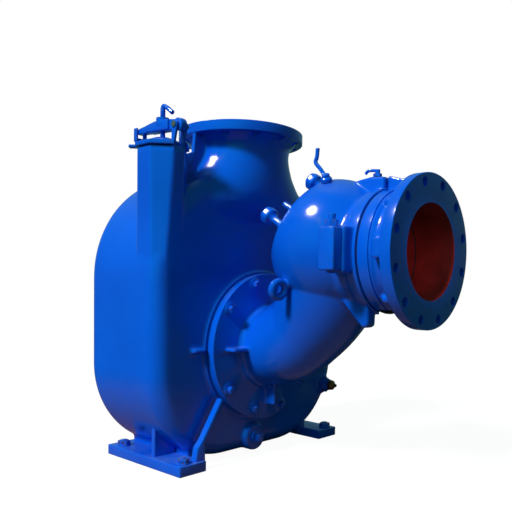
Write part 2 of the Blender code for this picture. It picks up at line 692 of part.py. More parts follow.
def make_casing():
    """Body, discharge neck, fill stack, feet, seats and ribs as one casting."""
    body = make_body()
    under = DISCHARGE_Z - FLANGE_THICK
    flare = [(radius, NECK_FOOT_Z + rise) for radius, rise in NECK_FLARE]
    top = under + FLANGE_THICK / 3
    profile = [(0, NECK_FOOT_Z)] + flare
    profile += [(NECK_R, NECK_FOOT_Z + NECK_FULL_RISE), (NECK_R, top), (0, top)]
    neck = turned("neck", profile, (NECK_X, 0, 0))
    flange = disc("discharge_flange", FLANGE_R, FLANGE_THICK, (NECK_X, 0, under))
    stack = make_stack()
    seat = disc("cover_seat", SEAT_R, SEAT_THICK + ROOT, (CASING_FRONT_X - ROOT, 0, SHAFT_Z), (1, 0, 0))
    back_seat = disc("back_seat", BACK_COVER_R + BACK_SEAT_LAP, ROOT,
                     (CASING_BACK_X + ROOT + BACK_SEAT_STAND, 0, SHAFT_Z), (-1, 0, 0))
    parts = [neck, flange, stack, seat, back_seat, make_gusset(-1, "left"), make_gusset(1, "right")]
    parts += make_foot(-1) + make_foot(1) + [make_strut()]
    for side in (-1, 1):
        edge = sorted((side * (COVER_R + 0.003), side * (SEAT_R + SEAT_RIB_REACH)))
        parts.append(block("seat_rib_%d" % (side + 1),
                           (CASING_FRONT_X - ROOT, edge[0], SHAFT_Z - HEAD_RIB_THICK / 2),
                           (CASING_FRONT_X + SEAT_RIB_STAND, edge[1], SHAFT_Z + HEAD_RIB_THICK / 2)))
    parts.append(disc("drain_boss", DRAIN_BOSS_R, ROOT + DRAIN_STAND, (CASING_FRONT_X - ROOT, DRAIN_Y, DRAIN_Z),
                      (1, 0, 0), steps=28))
    parts.append(disc("relief_boss", RELIEF_R + RELIEF_BOSS_LAP, CASING_EDGE_R + ROOT / 2,
                      relief_face(-CASING_EDGE_R - ROOT / 2), (1, 0, 0), steps=28))
    for ear_side in (-1, 1):
        y = STACK_Y + ear_side * (CLAMP_BAR_WIDTH / 2 + CLAMP_CLEAR + CLAMP_EAR_THICK / 2)
        parts.append(make_clamp_ear("clamp_ear_%d" % (ear_side + 1), y))
    fuse(body, parts)
    bore = disc("discharge_bore", FLANGE_BORE_R, DISCHARGE_BORE_DEPTH + 0.02,
                (NECK_X, 0, DISCHARGE_Z - DISCHARGE_BORE_DEPTH))
    holes = bolt_holes("discharge_holes", (NECK_X, 0, under + FLANGE_THICK / 2), (0, 0, 1),
                       BOLT_CIRCLE_R, BOLT_HOLE_R, FLANGE_THICK * 1.4, BOLT_COUNT)
    fill = disc("fill_bore", STACK_BORE_R, STACK_BORE_DEPTH + 0.02,
                (STACK_X, STACK_Y, STACK_TOP - STACK_BORE_DEPTH), steps=32)
    drain = disc("drain_hole", DRAIN_PLUG_R * 0.7 + GAP, 0.050, (drain_face() - ROOT, DRAIN_Y, DRAIN_Z),
                 (1, 0, 0), steps=SMALL_ROUND)
    relief = disc("relief_hole", RELIEF_R * 0.55 + GAP, RELIEF_SHANK * 2, relief_face(-RELIEF_SHANK - 0.008),
                  (1, 0, 0), steps=SMALL_ROUND)
    pin = disc("clamp_pin_hole", CLAMP_PIN_R + GAP, CLAMP_BAR_WIDTH * 3,
               (CLAMP_PIN_X, STACK_Y - CLAMP_BAR_WIDTH * 1.5, CLAMP_PIN_Z), (0, 1, 0), steps=SMALL_ROUND)
    bm = bmesh.new()
    for side in (-1, 1):
        for x in (FOOT_BACK_X + FOOT_HOLE_BACK, FOOT_FRONT_X - FOOT_HOLE_FRONT):
            y = side * (FOOT_OUTER - FOOT_HOLE_SIDE)
            bmesh.ops.create_cone(bm, cap_ends=True, segments=12, radius1=FOOT_HOLE_R, radius2=FOOT_HOLE_R,
                                  depth=FOOT_THICK * 2, matrix=Matrix.Translation((x, y, FOOT_THICK / 2)))
    foot_holes = add_object("foot_holes", bm)
    cut(body, [bore, holes, fill, drain, relief, pin, foot_holes])


def drain_face():
    return CASING_FRONT_X + DRAIN_STAND


def relief_face(height):
    return Vector((CASING_FRONT_X + RELIEF_STAND + height, CASING_HALF - RELIEF_INSET, RELIEF_Z))


def make_clamp_ear(name, y):
    """Upright ear on the stack's front edge, round at the top, for the clamp's hinge pin."""
    foot_z = STACK_TOP - 0.020
    outline = arc((CLAMP_PIN_X, CLAMP_PIN_Z), CLAMP_EAR_R, 0, 180, 8)
    outline = [(CLAMP_PIN_X - 0.002, foot_z), (CLAMP_PIN_X - 0.001, STACK_TOP + 0.010)] + outline
    outline += [(CLAMP_PIN_X - 0.013, STACK_TOP + 0.010), (CLAMP_PIN_X - 0.013, foot_z)]
    return prism(name, outline, y - CLAMP_EAR_THICK / 2, CLAMP_EAR_THICK, "y")


def make_fill_cover():
    """Gasket and octagonal cover plate with a lifting ear, over the fill port."""
    outline = stack_outline(-0.014)
    gasket = prism("fill_gasket", outline, STACK_TOP + GAP, FILL_GASKET_THICK - 2 * GAP, "z", RUBBER)
    cut(gasket, [disc("gasket_hole", STACK_BORE_R, 0.02, (STACK_X, STACK_Y, STACK_TOP - 0.01), steps=32)])
    cover = prism("fill_cover", stack_outline(FILL_COVER_LAP), FILL_COVER_Z, FILL_COVER_THICK, "z")
    reach = STACK_X + STACK_HALF_X + FILL_COVER_LAP + 0.02
    notch = CLAMP_BAR_WIDTH / 2 + CLAMP_CLEAR + CLAMP_EAR_THICK + NOTCH_CLEAR
    trim = block("cover_trim", (CLAMP_PIN_X - 0.013 - NOTCH_CLEAR, STACK_Y - notch, FILL_COVER_Z - 0.02),
                 (reach, STACK_Y + notch, FILL_COVER_Z + 0.04))
    corner = Vector((STACK_X - STACK_HALF_X + STACK_CHAMFER / 2, STACK_Y - STACK_HALF_Y + STACK_CHAMFER / 2))
    tip = corner + Vector((-1, -1)).normalized() * FILL_EAR_REACH
    side = Vector((1, -1)).normalized() * 0.016
    root = corner + Vector((1, 1)).normalized() * 0.020
    ear = prism("cover_ear", [tuple(root - side), tuple(tip - side * 0.7), tuple(tip + side * 0.7),
                              tuple(root + side)], FILL_COVER_Z + 0.002, FILL_COVER_THICK - 0.004, "z")
    socket = ring("cover_socket", SCREW_PAD_R + 0.0015, SCREW_PAD_R + 0.008, 0.010,
                  (STACK_X, STACK_Y, FILL_COVER_Z + FILL_COVER_THICK - 0.002), steps=24)
    fuse(cover, [ear, socket])
    cut(cover, [trim])


def clamp_bar_z():
    return CLAMP_PIN_Z + CLAMP_BAR_LIFT


def make_clamp_bar():
    """Bar over the cover with a knuckle on its hinge pin and a threaded boss in the middle."""
    tail = STACK_X - CLAMP_BAR_TAIL
    low = clamp_bar_z() - CLAMP_BAR_THICK / 2
    high = clamp_bar_z() + CLAMP_BAR_THICK / 2
    outline = [(tail, low + 0.002), (CLAMP_PIN_X - CLAMP_KNUCKLE_R * 1.1, low)]
    outline += arc((CLAMP_PIN_X, CLAMP_PIN_Z), CLAMP_KNUCKLE_R, -60, 120, 10)
    outline += [(STACK_X + 0.026, high), (STACK_X - 0.026, high), (tail, high - 0.010)]
    bar = prism("clamp_bar", outline, STACK_Y - CLAMP_BAR_WIDTH / 2, CLAMP_BAR_WIDTH, "y")
    middle = (STACK_X, STACK_Y, clamp_bar_z())
    boss = disc("bar_boss", SCREW_R * 2.6, CLAMP_BAR_THICK / 2 + 0.008, middle, steps=24)
    fuse(bar, [boss])
    pin = disc("bar_pin_hole", CLAMP_PIN_R + GAP, CLAMP_BAR_WIDTH * 1.4,
               (CLAMP_PIN_X, STACK_Y - CLAMP_BAR_WIDTH * 0.7, CLAMP_PIN_Z), (0, 1, 0), steps=SMALL_ROUND)
    thread = disc("bar_thread", SCREW_R + GAP, 0.08, (STACK_X, STACK_Y, clamp_bar_z() - 0.04),
                  steps=SMALL_ROUND)
    cut(bar, [pin, thread])


def make_clamp_pin():
    width = CLAMP_BAR_WIDTH + 2 * (CLAMP_CLEAR + CLAMP_EAR_THICK) + 0.012
    profile = [(0, 0), (CLAMP_PIN_R * 1.4, 0), (CLAMP_PIN_R * 1.4, 0.004 - GAP), (CLAMP_PIN_R, 0.004 - GAP),
               (CLAMP_PIN_R, width), (0, width)]
    turned("clamp_pin", profile, (CLAMP_PIN_X, STACK_Y - width / 2 + 0.002, CLAMP_PIN_Z), (0, 1, 0),
           STEEL, SMALL_ROUND)


def make_clamp_screw():
    """Clamp screw with a flat foot in the cover's socket and a bent handle on top."""
    foot = FILL_COVER_Z + FILL_COVER_THICK + GAP
    rise = STACK_TOP + SCREW_RISE - foot
    stem = turned("clamp_screw", [(0, 0), (SCREW_PAD_R, 0), (SCREW_PAD_R, 0.008), (SCREW_R, 0.012),
                                  (SCREW_R, rise), (0, rise)],
                  (STACK_X, STACK_Y, foot), look=STEEL, steps=SMALL_ROUND)
    way = Vector((0.83, 0, -0.56)).normalized()
    handle = disc("screw_handle", SCREW_R * 0.85, SCREW_HANDLE,
                  (STACK_X, STACK_Y, STACK_TOP + SCREW_RISE - 0.007), way, STEEL, 12)
    fuse(stem, [handle])


def make_latch():
    """Fork beside the tail of the clamp bar, on an arm fixed to the back of the stack."""
    front = STACK_X - STACK_HALF_X - LATCH_CLEAR
    back = front - LATCH_WIDTH
    low = STACK_TOP - 0.043
    knee = clamp_bar_z() - CLAMP_BAR_THICK / 2 - 0.010
    arm = block("latch_yoke", (back, STACK_Y - LATCH_THICK, low),
                (STACK_X - STACK_HALF_X - GAP, STACK_Y + LATCH_THICK, low + 0.026))
    stem = block("latch_stem", (back, STACK_Y - LATCH_THICK, low), (front, STACK_Y + LATCH_THICK, knee))
    inner = CLAMP_BAR_WIDTH / 2 + CLAMP_CLEAR
    bridge = block("latch_bridge", (back, STACK_Y - inner - LATCH_THICK, knee - 0.010),
                   (front, STACK_Y + inner + LATCH_THICK, knee))
    pieces = [stem, bridge]
    for side in (-1, 1):
        y = STACK_Y + side * (inner + LATCH_THICK / 2)
        pieces.append(block("latch_plate_%d" % (side + 1), (back, y - LATCH_THICK / 2, knee - 0.010),
                            (front, y + LATCH_THICK / 2, clamp_bar_z() + 0.006)))
    fuse(arm, pieces)


def make_plugs():
    """Drain plug, relief valve and the two small cocks."""
    square = DRAIN_PLUG_R * 0.5
    shank_r = DRAIN_PLUG_R * 0.7
    profile = [(0, -DRAIN_SHANK), (shank_r, -DRAIN_SHANK), (shank_r, GAP), (DRAIN_PLUG_R, GAP),
               (DRAIN_PLUG_R, 0.008), (0, 0.008)]
    drain = turned("drain_plug", profile, (drain_face(), DRAIN_Y, DRAIN_Z), (1, 0, 0), STEEL, 24)
    head = block("drain_head", (drain_face() + 0.004, DRAIN_Y - square, DRAIN_Z - square),
                 (drain_face() + 0.024, DRAIN_Y + square, DRAIN_Z + square))
    fuse(drain, [head])
    turned("relief_valve", [(0, -RELIEF_SHANK), (RELIEF_R * 0.55, -RELIEF_SHANK), (RELIEF_R * 0.55, GAP),
                            (RELIEF_R, GAP), (RELIEF_R, 0.014), (RELIEF_R * 0.7, 0.020),
                            (RELIEF_R * 0.7, RELIEF_LENGTH), (0, RELIEF_LENGTH)],
           relief_face(0), (1, 0, 0), STEEL, 24)
    turned("relief_cap", [(0, 0), (RELIEF_R * 0.62, 0), (RELIEF_R * 0.62, 0.012), (RELIEF_R * 0.3, 0.016),
                          (RELIEF_R * 0.22, 0.028), (0, 0.028)],
           relief_face(RELIEF_LENGTH + GAP), (1, 0, 0), BRASS, 24)


def make_air_cock():
    """Air cock with a bent lever on top of the bulb."""
    way = Vector((0.10, -0.42, 0.90)).normalized()
    foot = BULB + way * (BULB_R + GAP)
    body = turned("air_cock", [(0, 0), (COCK_R, 0), (COCK_R, 0.012), (COCK_R * 0.7, 0.014),
                               (COCK_R * 0.7, 0.022), (0, 0.022)], foot, way, steps=16)
    base = foot + way * 0.016
    knee = base + LEVER_KNEE
    tip = knee + LEVER_TIP
    lower = disc("lever_low", LEVER_R, (knee - base).length, base, knee - base, steps=10)
    start = knee - LEVER_TIP.normalized() * (LEVER_R / 2)
    upper = disc("lever_high", LEVER_R * 0.92, (tip - start).length, start, LEVER_TIP, steps=12)
    fuse(body, [lower, upper])


def make_petcock():
    """Small cock with a curved spout on top of the suction head's outlet flange."""
    top = SUCTION_Z + TOP_WEB_RISE + CROWN_SWELL + GAP
    x = HEAD_FACE_X - PETCOCK_SETBACK
    body = turned("petcock", [(0, 0), (PETCOCK_R, 0), (PETCOCK_R, 0.008), (PETCOCK_R * 0.58, 0.010),
                              (PETCOCK_R * 0.58, 0.018), (0, 0.018)], (x, PETCOCK_Y, top), steps=16)
    spout = disc("petcock_spout", PETCOCK_R * 0.375, PETCOCK_SPOUT, (x + 0.004, PETCOCK_Y, top + 0.014),
                 (-0.97, -0.18, 0.10), steps=12)
    fuse(body, [spout])


def make_back_end():
    """Back cover, bearing frame, cap, shaft and key behind the casing."""
    ring("back_gasket", FRAME_R, BACK_COVER_R - 0.004, BACK_GASKET_THICK - 2 * GAP,
         (CASING_BACK_X - BACK_GASKET_THICK + GAP, 0, SHAFT_Z), (1, 0, 0), RUBBER)
    bore_r = SHAFT_R + SHAFT_CLEAR
    ring("back_cover", bore_r, BACK_COVER_R, BACK_COVER_THICK,
         (BACK_COVER_X - BACK_COVER_THICK, 0, SHAFT_Z), (1, 0, 0))
    profile = [(bore_r, 0), (FRAME_FLANGE_R, 0), (FRAME_FLANGE_R, FRAME_FLANGE_THICK),
               (FRAME_R + 0.020, FRAME_FLANGE_THICK + 0.012), (FRAME_R, FRAME_FLANGE_THICK + 0.040),
               (FRAME_R, FRAME_LENGTH), (bore_r, FRAME_LENGTH)]
    frame = turned("bearing_frame", profile, (FRAME_FRONT_X, 0, SHAFT_Z), (-1, 0, 0))
    ribs = []
    for k in range(4):
        angle = math.tau * (k + 0.5) / 4
        bm = bmesh.new()
        outline = [(FRAME_R * 0.9, 0.004), (FRAME_FLANGE_R - 0.012, FRAME_FLANGE_THICK / 2),
                   (FRAME_FLANGE_R - 0.012, FRAME_FLANGE_THICK + 0.004),
                   (FRAME_R + 0.003, FRAME_LENGTH * FRAME_RIB_SHARE),
                   (FRAME_R * 0.9, FRAME_LENGTH * FRAME_RIB_SHARE)]
        face = bm.faces.new([bm.verts.new((-h, r, -FRAME_RIB_THICK / 2)) for r, h in outline])
        result = bmesh.ops.extrude_face_region(bm, geom=[face])
        moved = [v for v in result["geom"] if isinstance(v, bmesh.types.BMVert)]
        bmesh.ops.translate(bm, vec=(0, 0, FRAME_RIB_THICK), verts=moved)
        bmesh.ops.rotate(bm, cent=(0, 0, 0), matrix=Matrix.Rotation(angle, 3, "X"), verts=bm.verts)
        ribs.append(add_object("frame_rib_%d" % k, bm, BLUE, (FRAME_FRONT_X, 0, SHAFT_Z)))
    fuse(frame, ribs)
    plug_hole = disc("oil_plug_hole", OIL_PLUG_R + GAP, PLUG_HOLE_DEPTH * 2,
                     (oil_x(), 0, SHAFT_Z + FRAME_R - PLUG_HOLE_DEPTH), steps=SMALL_ROUND)
    sight_hole = disc("sight_hole", SIGHT_R * 0.6 + GAP, PLUG_HOLE_DEPTH * 2,
                      (oil_x(), PLUG_HOLE_DEPTH + SIGHT_SEAT - FRAME_R, SHAFT_Z), (0, -1, 0), steps=SMALL_ROUND)
    flat = block("sight_flat", (oil_x() - SIGHT_R - 0.004, -FRAME_R - 0.02, SHAFT_Z - SIGHT_R - 0.004),
                 (oil_x() + SIGHT_R + 0.004, SIGHT_SEAT - FRAME_R, SHAFT_Z + SIGHT_R + 0.004))
    cut(frame, [plug_hole, flat, sight_hole])
    ring("bearing_cap", bore_r, CAP_R, CAP_THICK, (CAP_BACK_X, 0, SHAFT_Z), (1, 0, 0))
    shaft = disc("drive_shaft", SHAFT_R, FRAME_FRONT_X - SHAFT_END_X, (SHAFT_END_X, 0, SHAFT_Z), (1, 0, 0),
                 STEEL, 32)
    key_low = SHAFT_Z + SHAFT_R - KEY_HEIGHT / 2
    slot = block("key_slot", (SHAFT_END_X + KEY_SETBACK - GAP, -KEY_WIDTH / 2 - GAP, key_low - GAP),
                 (SHAFT_END_X + KEY_SETBACK + KEY_LENGTH + GAP, KEY_WIDTH / 2 + GAP, key_low + KEY_HEIGHT * 2))
    cut(shaft, [slot])
    block("shaft_key", (SHAFT_END_X + KEY_SETBACK, -KEY_WIDTH / 2, key_low),
          (SHAFT_END_X + KEY_SETBACK + KEY_LENGTH, KEY_WIDTH / 2, key_low + KEY_HEIGHT), STEEL)
    turned("oil_fill_plug", [(0, -PLUG_SHANK), (OIL_PLUG_R, -PLUG_SHANK), (OIL_PLUG_R, GAP), (0.018, GAP),
                             (0.018, 0.012), (0.011, 0.014), (0.011, 0.026), (0, 0.026)],
           (oil_x(), 0, SHAFT_Z + FRAME_R), look=STEEL, steps=SMALL_ROUND)
    shank_r = SIGHT_R * 0.6
    profile = [(0, -PLUG_SHANK), (shank_r, -PLUG_SHANK), (shank_r, GAP), (SIGHT_R, GAP), (SIGHT_R, 0.008),
               (SIGHT_R * 0.7, 0.010), (0, 0.010)]
    turned("oil_sight_glass", profile, (oil_x(), SIGHT_SEAT - FRAME_R, SHAFT_Z), (0, -1, 0), GLASS, 24)


def oil_x():
    return FRAME_FRONT_X - FRAME_LENGTH * OIL_SHARE


clear_scene()
pump = bpy.data.objects.new("pump", None)
bpy.context.collection.objects.link(pump)
pump.location = (-SHAFT_END_X / 2, 0, 0)
make_spool()
make_valve_gasket()
make_suction_head()
make_access_cover()
make_flap_pin()
make_lifting_eye()
make_cover_gasket()
make_casing()
make_fill_cover()
make_clamp_bar()
make_clamp_pin()
make_clamp_screw()
make_latch()
make_plugs()
make_air_cock()
make_petcock()
make_back_end()
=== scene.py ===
# %% [markdown]
# # Dressing a self-priming sewage pump
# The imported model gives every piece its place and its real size. This script keeps those
# places and gives each piece the shape and finish of the real thing: castings with soft
# corners, machined flanges with crisp ones, bolts and nuts, and glossy blue enamel over all.

# %% Load the frame
import bpy
import bmesh
import math
from mathutils import Matrix, Vector


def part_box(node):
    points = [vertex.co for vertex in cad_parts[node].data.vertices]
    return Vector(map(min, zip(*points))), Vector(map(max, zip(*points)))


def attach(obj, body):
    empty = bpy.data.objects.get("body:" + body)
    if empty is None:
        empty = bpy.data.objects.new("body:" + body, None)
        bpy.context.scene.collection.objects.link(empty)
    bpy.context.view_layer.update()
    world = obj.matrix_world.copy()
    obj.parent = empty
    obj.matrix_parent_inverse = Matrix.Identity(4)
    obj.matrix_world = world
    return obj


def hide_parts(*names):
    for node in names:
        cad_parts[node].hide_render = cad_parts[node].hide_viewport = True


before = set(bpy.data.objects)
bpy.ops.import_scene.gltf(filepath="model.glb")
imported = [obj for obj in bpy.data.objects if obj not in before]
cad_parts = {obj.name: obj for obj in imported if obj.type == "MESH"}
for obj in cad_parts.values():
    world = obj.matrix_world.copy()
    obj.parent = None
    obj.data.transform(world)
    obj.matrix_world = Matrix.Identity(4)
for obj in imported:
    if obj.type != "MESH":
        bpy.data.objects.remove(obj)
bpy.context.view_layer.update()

# %% [markdown]
# ## Places read from the frame
# A node's box tells where its faces are. Everything that this script models is set out from
# these faces, so that a bolt lands on its flange and a casting on its feet.

# %% Places along the pump
X = Vector((1, 0, 0))
Y = Vector((0, 1, 0))
Z = Vector((0, 0, 1))
GAP = 0.0003

spool_low, spool_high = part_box("suction_spool")
head_low, head_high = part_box("suction_head")
seat_low, seat_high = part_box("cover_gasket")
back_low, back_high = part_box("back_gasket")
port_low, port_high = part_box("fill_gasket")
casing_low, casing_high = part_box("casing")
frame_low, frame_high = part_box("bearing_frame")
cap_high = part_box("bearing_cap")[1]

SUCTION_X = spool_high.x
SPOOL_BACK_X = spool_low.x
HEAD_FACE_X = head_high.x
SUCTION_Z = (spool_low.z + spool_high.z) / 2
COVER_BACK_X = head_low.x
SHAFT_Z = (seat_low.z + seat_high.z) / 2
SEAT_X = seat_low.x - GAP
SEAT_THICK = 0.010
NECK_BEHIND_FRONT = 0.098
DISCHARGE_HEIGHT = 1.040
CASING_FRONT_X = SEAT_X - SEAT_THICK
CASING_BACK_X = back_high.x + GAP
CASING_HALF = casing_high.y
DISCHARGE_Z = casing_low.z + DISCHARGE_HEIGHT
NECK_X = CASING_FRONT_X - NECK_BEHIND_FRONT
PORT = Vector(((port_low.x + port_high.x) / 2, (port_low.y + port_high.y) / 2, port_low.z - GAP))
print("suction axis at z", round(SUCTION_Z, 3), "shaft axis at z", round(SHAFT_Z, 3))

# %% [markdown]
# ## Camera
# The two round flanges fix the viewpoint: a circle seen at an angle is an ellipse whose shape
# tells where the eye stood. The lens is a moderate one, and the small shift keeps the pump
# where the picture has it without turning its uprights.

# %% Camera
IMAGE = 512
SENSOR = 36
FOCAL = 612.2
CENTRE = (290.3, 320.4)
YAW, PITCH, ROLL = 0.7171, -0.0568, 0.0195
CAMERA_AT = Vector((SUCTION_X + 0.7714, -1.4366, 0.5467))


def aim(yaw, pitch, roll):
    """Rotation of a camera that looks along +Y before it is turned."""
    right = X * math.cos(yaw) + Y * math.sin(yaw)
    away = Y * math.cos(yaw) - X * math.sin(yaw)
    forward = away * math.cos(pitch) + Z * math.sin(pitch)
    up = Z * math.cos(pitch) - away * math.sin(pitch)
    tilted_right = right * math.cos(roll) + up * math.sin(roll)
    tilted_up = up * math.cos(roll) - right * math.sin(roll)
    return Matrix((tilted_right, tilted_up, -forward)).transposed().to_4x4()


camera_data = bpy.data.cameras.new("camera")
camera_data.sensor_width = SENSOR
camera_data.lens = FOCAL / IMAGE * SENSOR
camera_data.shift_x = (IMAGE / 2 - CENTRE[0]) / IMAGE
camera_data.shift_y = (CENTRE[1] - IMAGE / 2) / IMAGE
camera = bpy.data.objects.new("camera", camera_data)
bpy.context.scene.collection.objects.link(camera)
camera.matrix_world = Matrix.Translation(CAMERA_AT) @ aim(YAW, PITCH, ROLL)
bpy.context.scene.camera = camera
print("lens", round(camera_data.lens, 1), "mm")

# %% [markdown]
# ## Nodes by function
# Colours in Blender are worked out by nodes that are wired together. A few of them do most of
# the work here: a noise, a range that is stretched, a sum and a blend. Each gets a function
# that makes the node, sets its values and returns its socket.

# %% Node helpers
def shader_material(name):
    material = bpy.data.materials.new(name)
    material.use_nodes = True
    return material, material.node_tree, material.node_tree.nodes["Principled BSDF"]


def place_of(tree):
    """Object coordinates, which stay with a piece when it moves."""
    return tree.nodes.new("ShaderNodeTexCoord").outputs["Object"]


def noise(tree, vector, scale, detail=3.0, roughness=0.55):
    node = tree.nodes.new("ShaderNodeTexNoise")
    node.inputs["Scale"].default_value = scale
    node.inputs["Detail"].default_value = detail
    node.inputs["Roughness"].default_value = roughness
    tree.links.new(vector, node.inputs["Vector"])
    return node.outputs["Fac"]


def remap(tree, value, low, high, to_low=0.0, to_high=1.0, smooth=False):
    """Stretch a range of values to another, in a straight line or an eased one."""
    node = tree.nodes.new("ShaderNodeMapRange")
    if smooth:
        node.interpolation_type = "SMOOTHSTEP"
    for name, number in (("From Min", low), ("From Max", high), ("To Min", to_low), ("To Max", to_high)):
        node.inputs[name].default_value = number
    tree.links.new(value, node.inputs["Value"])
    return node.outputs["Result"]


def calc(tree, operation, first, second=None):
    node = tree.nodes.new("ShaderNodeMath")
    node.operation = operation
    for socket, value in zip(node.inputs, (first, second)):
        if isinstance(value, (int, float)):
            socket.default_value = value
        elif value is not None:
            tree.links.new(value, socket)
    return node.outputs["Value"]


def mix_colour(tree, factor, first, second):
    """Blend two colours, each a value or a socket, by a socket."""
    node = tree.nodes.new("ShaderNodeMix")
    node.data_type = "RGBA"
    tree.links.new(factor, node.inputs["Factor"])
    for socket, value in ((node.inputs[6], first), (node.inputs[7], second)):
        if isinstance(value, tuple):
            socket.default_value = value
        else:
            tree.links.new(value, socket)
    return node.outputs[2]


print("node helpers are ready")

# %% [markdown]
# ## Floor and light
# Gloss paint shows what stands around it, so the surroundings matter as much as the lamps.
# One broad sun from high on the left lights the long side and the tops, and leaves the front
# in shade, where the enamel goes nearly navy. It gives no highlights. Those come from a
# second and narrower sun, so that shading and gloss can be aimed one by one. A small spot
# lights the red bore. The camera sees a plain pale floor, but the paint sees a dull one that
# is redder close to the pump, and a dim sky with a teal patch on the lit side.

# %% Colour and light values
bpy.context.scene.view_settings.view_transform = "Standard"
SUN_COLOUR = (1.0, 0.97, 0.93)
SUN_FROM = Vector((-0.04, -0.74, 0.67))
SUN_STRENGTH = 3.9
SUN_WIDTH = 11
GLINT_FROM = Vector((-0.33, -0.52, 0.79))
GLINT_STRENGTH = 2.7
GLINT_WIDTH = 7
BORE_LAMP_FROM = Vector((0.80, -0.52, 0.20)).normalized()
BORE_LAMP_REACH = 1.6
BORE_LAMP_POWER = 30.0
BORE_LAMP_CONE = 8.2
BORE_LAMP_BLEND = 0.35
BORE_LAMP_SIZE = 0.05
FLOOR_SIZE = 60
FLOOR_SEEN = 0.96
FLOOR_CATCH = (0.07, 0.07, 0.073, 1)
FLOOR_NEAR = (0.17, 0.10, 0.10, 1)
FLOOR_BOUNCE = (0.030, 0.085, 0.060, 1)
FLOOR_NEAR_ENDS = 0.7
FLOOR_FAR_STARTS = 1.5
WORLD_SEEN = (1.0, 1.0, 1.0, 1)
WORLD_GROUND = (0.03, 0.06, 0.07, 1)
WORLD_HORIZON = (0.040, 0.046, 0.015, 1)
WORLD_TOP = (0.018, 0.150, 0.080, 1)
GROUND_AT, HORIZON_AT, TOP_AT = 0.47, 0.51, 0.78
GLOW_FROM = Vector((0.20, -0.93, 0.30))
GLOW_COLOUR = (0.03, 0.48, 0.44, 1)
GLOW_EDGE, GLOW_CORE = 0.55, 0.95
BACK_FROM = Vector((-0.62, 0.70, 0.35))
BACK_COLOUR = (0.09, 0.22, 0.27, 1)
BACK_EDGE, BACK_CORE = 0.15, 0.90
print("the sun stands", round(math.degrees(math.asin(SUN_FROM.normalized().z))), "degrees high")

# %% Floor
floor_mesh = bmesh.new()
bmesh.ops.create_grid(floor_mesh, x_segments=1, y_segments=1, size=FLOOR_SIZE / 2)
floor_data = bpy.data.meshes.new("floor")
floor_mesh.to_mesh(floor_data)
floor_mesh.free()
floor = bpy.data.objects.new("floor", floor_data)
bpy.context.scene.collection.objects.link(floor)
floor_paint, ft, floor_shader = shader_material("pale_floor")
ft.nodes.remove(floor_shader)
catch = ft.nodes.new("ShaderNodeBsdfDiffuse")
catch.inputs["Color"].default_value = FLOOR_CATCH
glow = ft.nodes.new("ShaderNodeEmission")
glow.inputs["Strength"].default_value = FLOOR_SEEN
pale = ft.nodes.new("ShaderNodeAddShader")
ft.links.new(catch.outputs[0], pale.inputs[0])
ft.links.new(glow.outputs[0], pale.inputs[1])
floor_reach = ft.nodes.new("ShaderNodeVectorMath")
floor_reach.operation = "LENGTH"
ft.links.new(place_of(ft), floor_reach.inputs[0])
far_share = remap(ft, floor_reach.outputs["Value"], FLOOR_NEAR_ENDS, FLOOR_FAR_STARTS, smooth=True)
bounce = ft.nodes.new("ShaderNodeBsdfDiffuse")
ft.links.new(mix_colour(ft, far_share, FLOOR_NEAR, FLOOR_BOUNCE), bounce.inputs["Color"])
floor_rays = ft.nodes.new("ShaderNodeLightPath")
by_ray = ft.nodes.new("ShaderNodeMixShader")
ft.links.new(floor_rays.outputs["Is Camera Ray"], by_ray.inputs["Fac"])
ft.links.new(bounce.outputs[0], by_ray.inputs[1])
ft.links.new(pale.outputs[0], by_ray.inputs[2])
ft.links.new(by_ray.outputs[0], ft.nodes["Material Output"].inputs["Surface"])
floor_data.materials.append(floor_paint)
print("a floor", FLOOR_SIZE, "m wide")


# %% Lamps
def lamp(name, kind, energy, way, place=(0, 0, 0)):
    """Lamp at a place that shines from a direction."""
    data = bpy.data.lights.new(name, kind)
    data.energy = energy
    data.color = SUN_COLOUR
    placed = bpy.data.objects.new(name, data)
    bpy.context.scene.collection.objects.link(placed)
    placed.location = place
    placed.rotation_mode = "QUATERNION"
    placed.rotation_quaternion = way.to_track_quat("Z", "Y")
    return placed


sun = lamp("sun", "SUN", SUN_STRENGTH, SUN_FROM)
sun.data.angle = math.radians(SUN_WIDTH)
sun.visible_glossy = False
glint = lamp("glint", "SUN", GLINT_STRENGTH, GLINT_FROM)
glint.data.angle = math.radians(GLINT_WIDTH)
glint.visible_diffuse = False
bore_lamp_at = Vector((SUCTION_X, 0, SUCTION_Z)) + BORE_LAMP_FROM * BORE_LAMP_REACH
bore_lamp = lamp("bore_lamp", "SPOT", BORE_LAMP_POWER, BORE_LAMP_FROM, bore_lamp_at)
bore_lamp.data.spot_size = math.radians(BORE_LAMP_CONE)
bore_lamp.data.spot_blend = BORE_LAMP_BLEND
bore_lamp.data.shadow_soft_size = BORE_LAMP_SIZE
bore_lamp.visible_glossy = False
print("three lamps: a sun, a glint and a lamp for the bore")

# %% Sky
world = bpy.data.worlds.new("studio")
bpy.context.scene.world = world
world.use_nodes = True
wt = world.node_tree
wt.nodes.clear()
way = wt.nodes.new("ShaderNodeTexCoord").outputs["Generated"]
height = wt.nodes.new("ShaderNodeSeparateXYZ")
wt.links.new(way, height.inputs[0])
ramp = wt.nodes.new("ShaderNodeValToRGB")
wt.links.new(remap(wt, height.outputs["Z"], -1.0, 1.0), ramp.inputs["Fac"])
ground, top = ramp.color_ramp.elements
ground.position = GROUND_AT
ground.color = WORLD_GROUND
top.position = TOP_AT
top.color = WORLD_TOP
ramp.color_ramp.elements.new(HORIZON_AT).color = WORLD_HORIZON


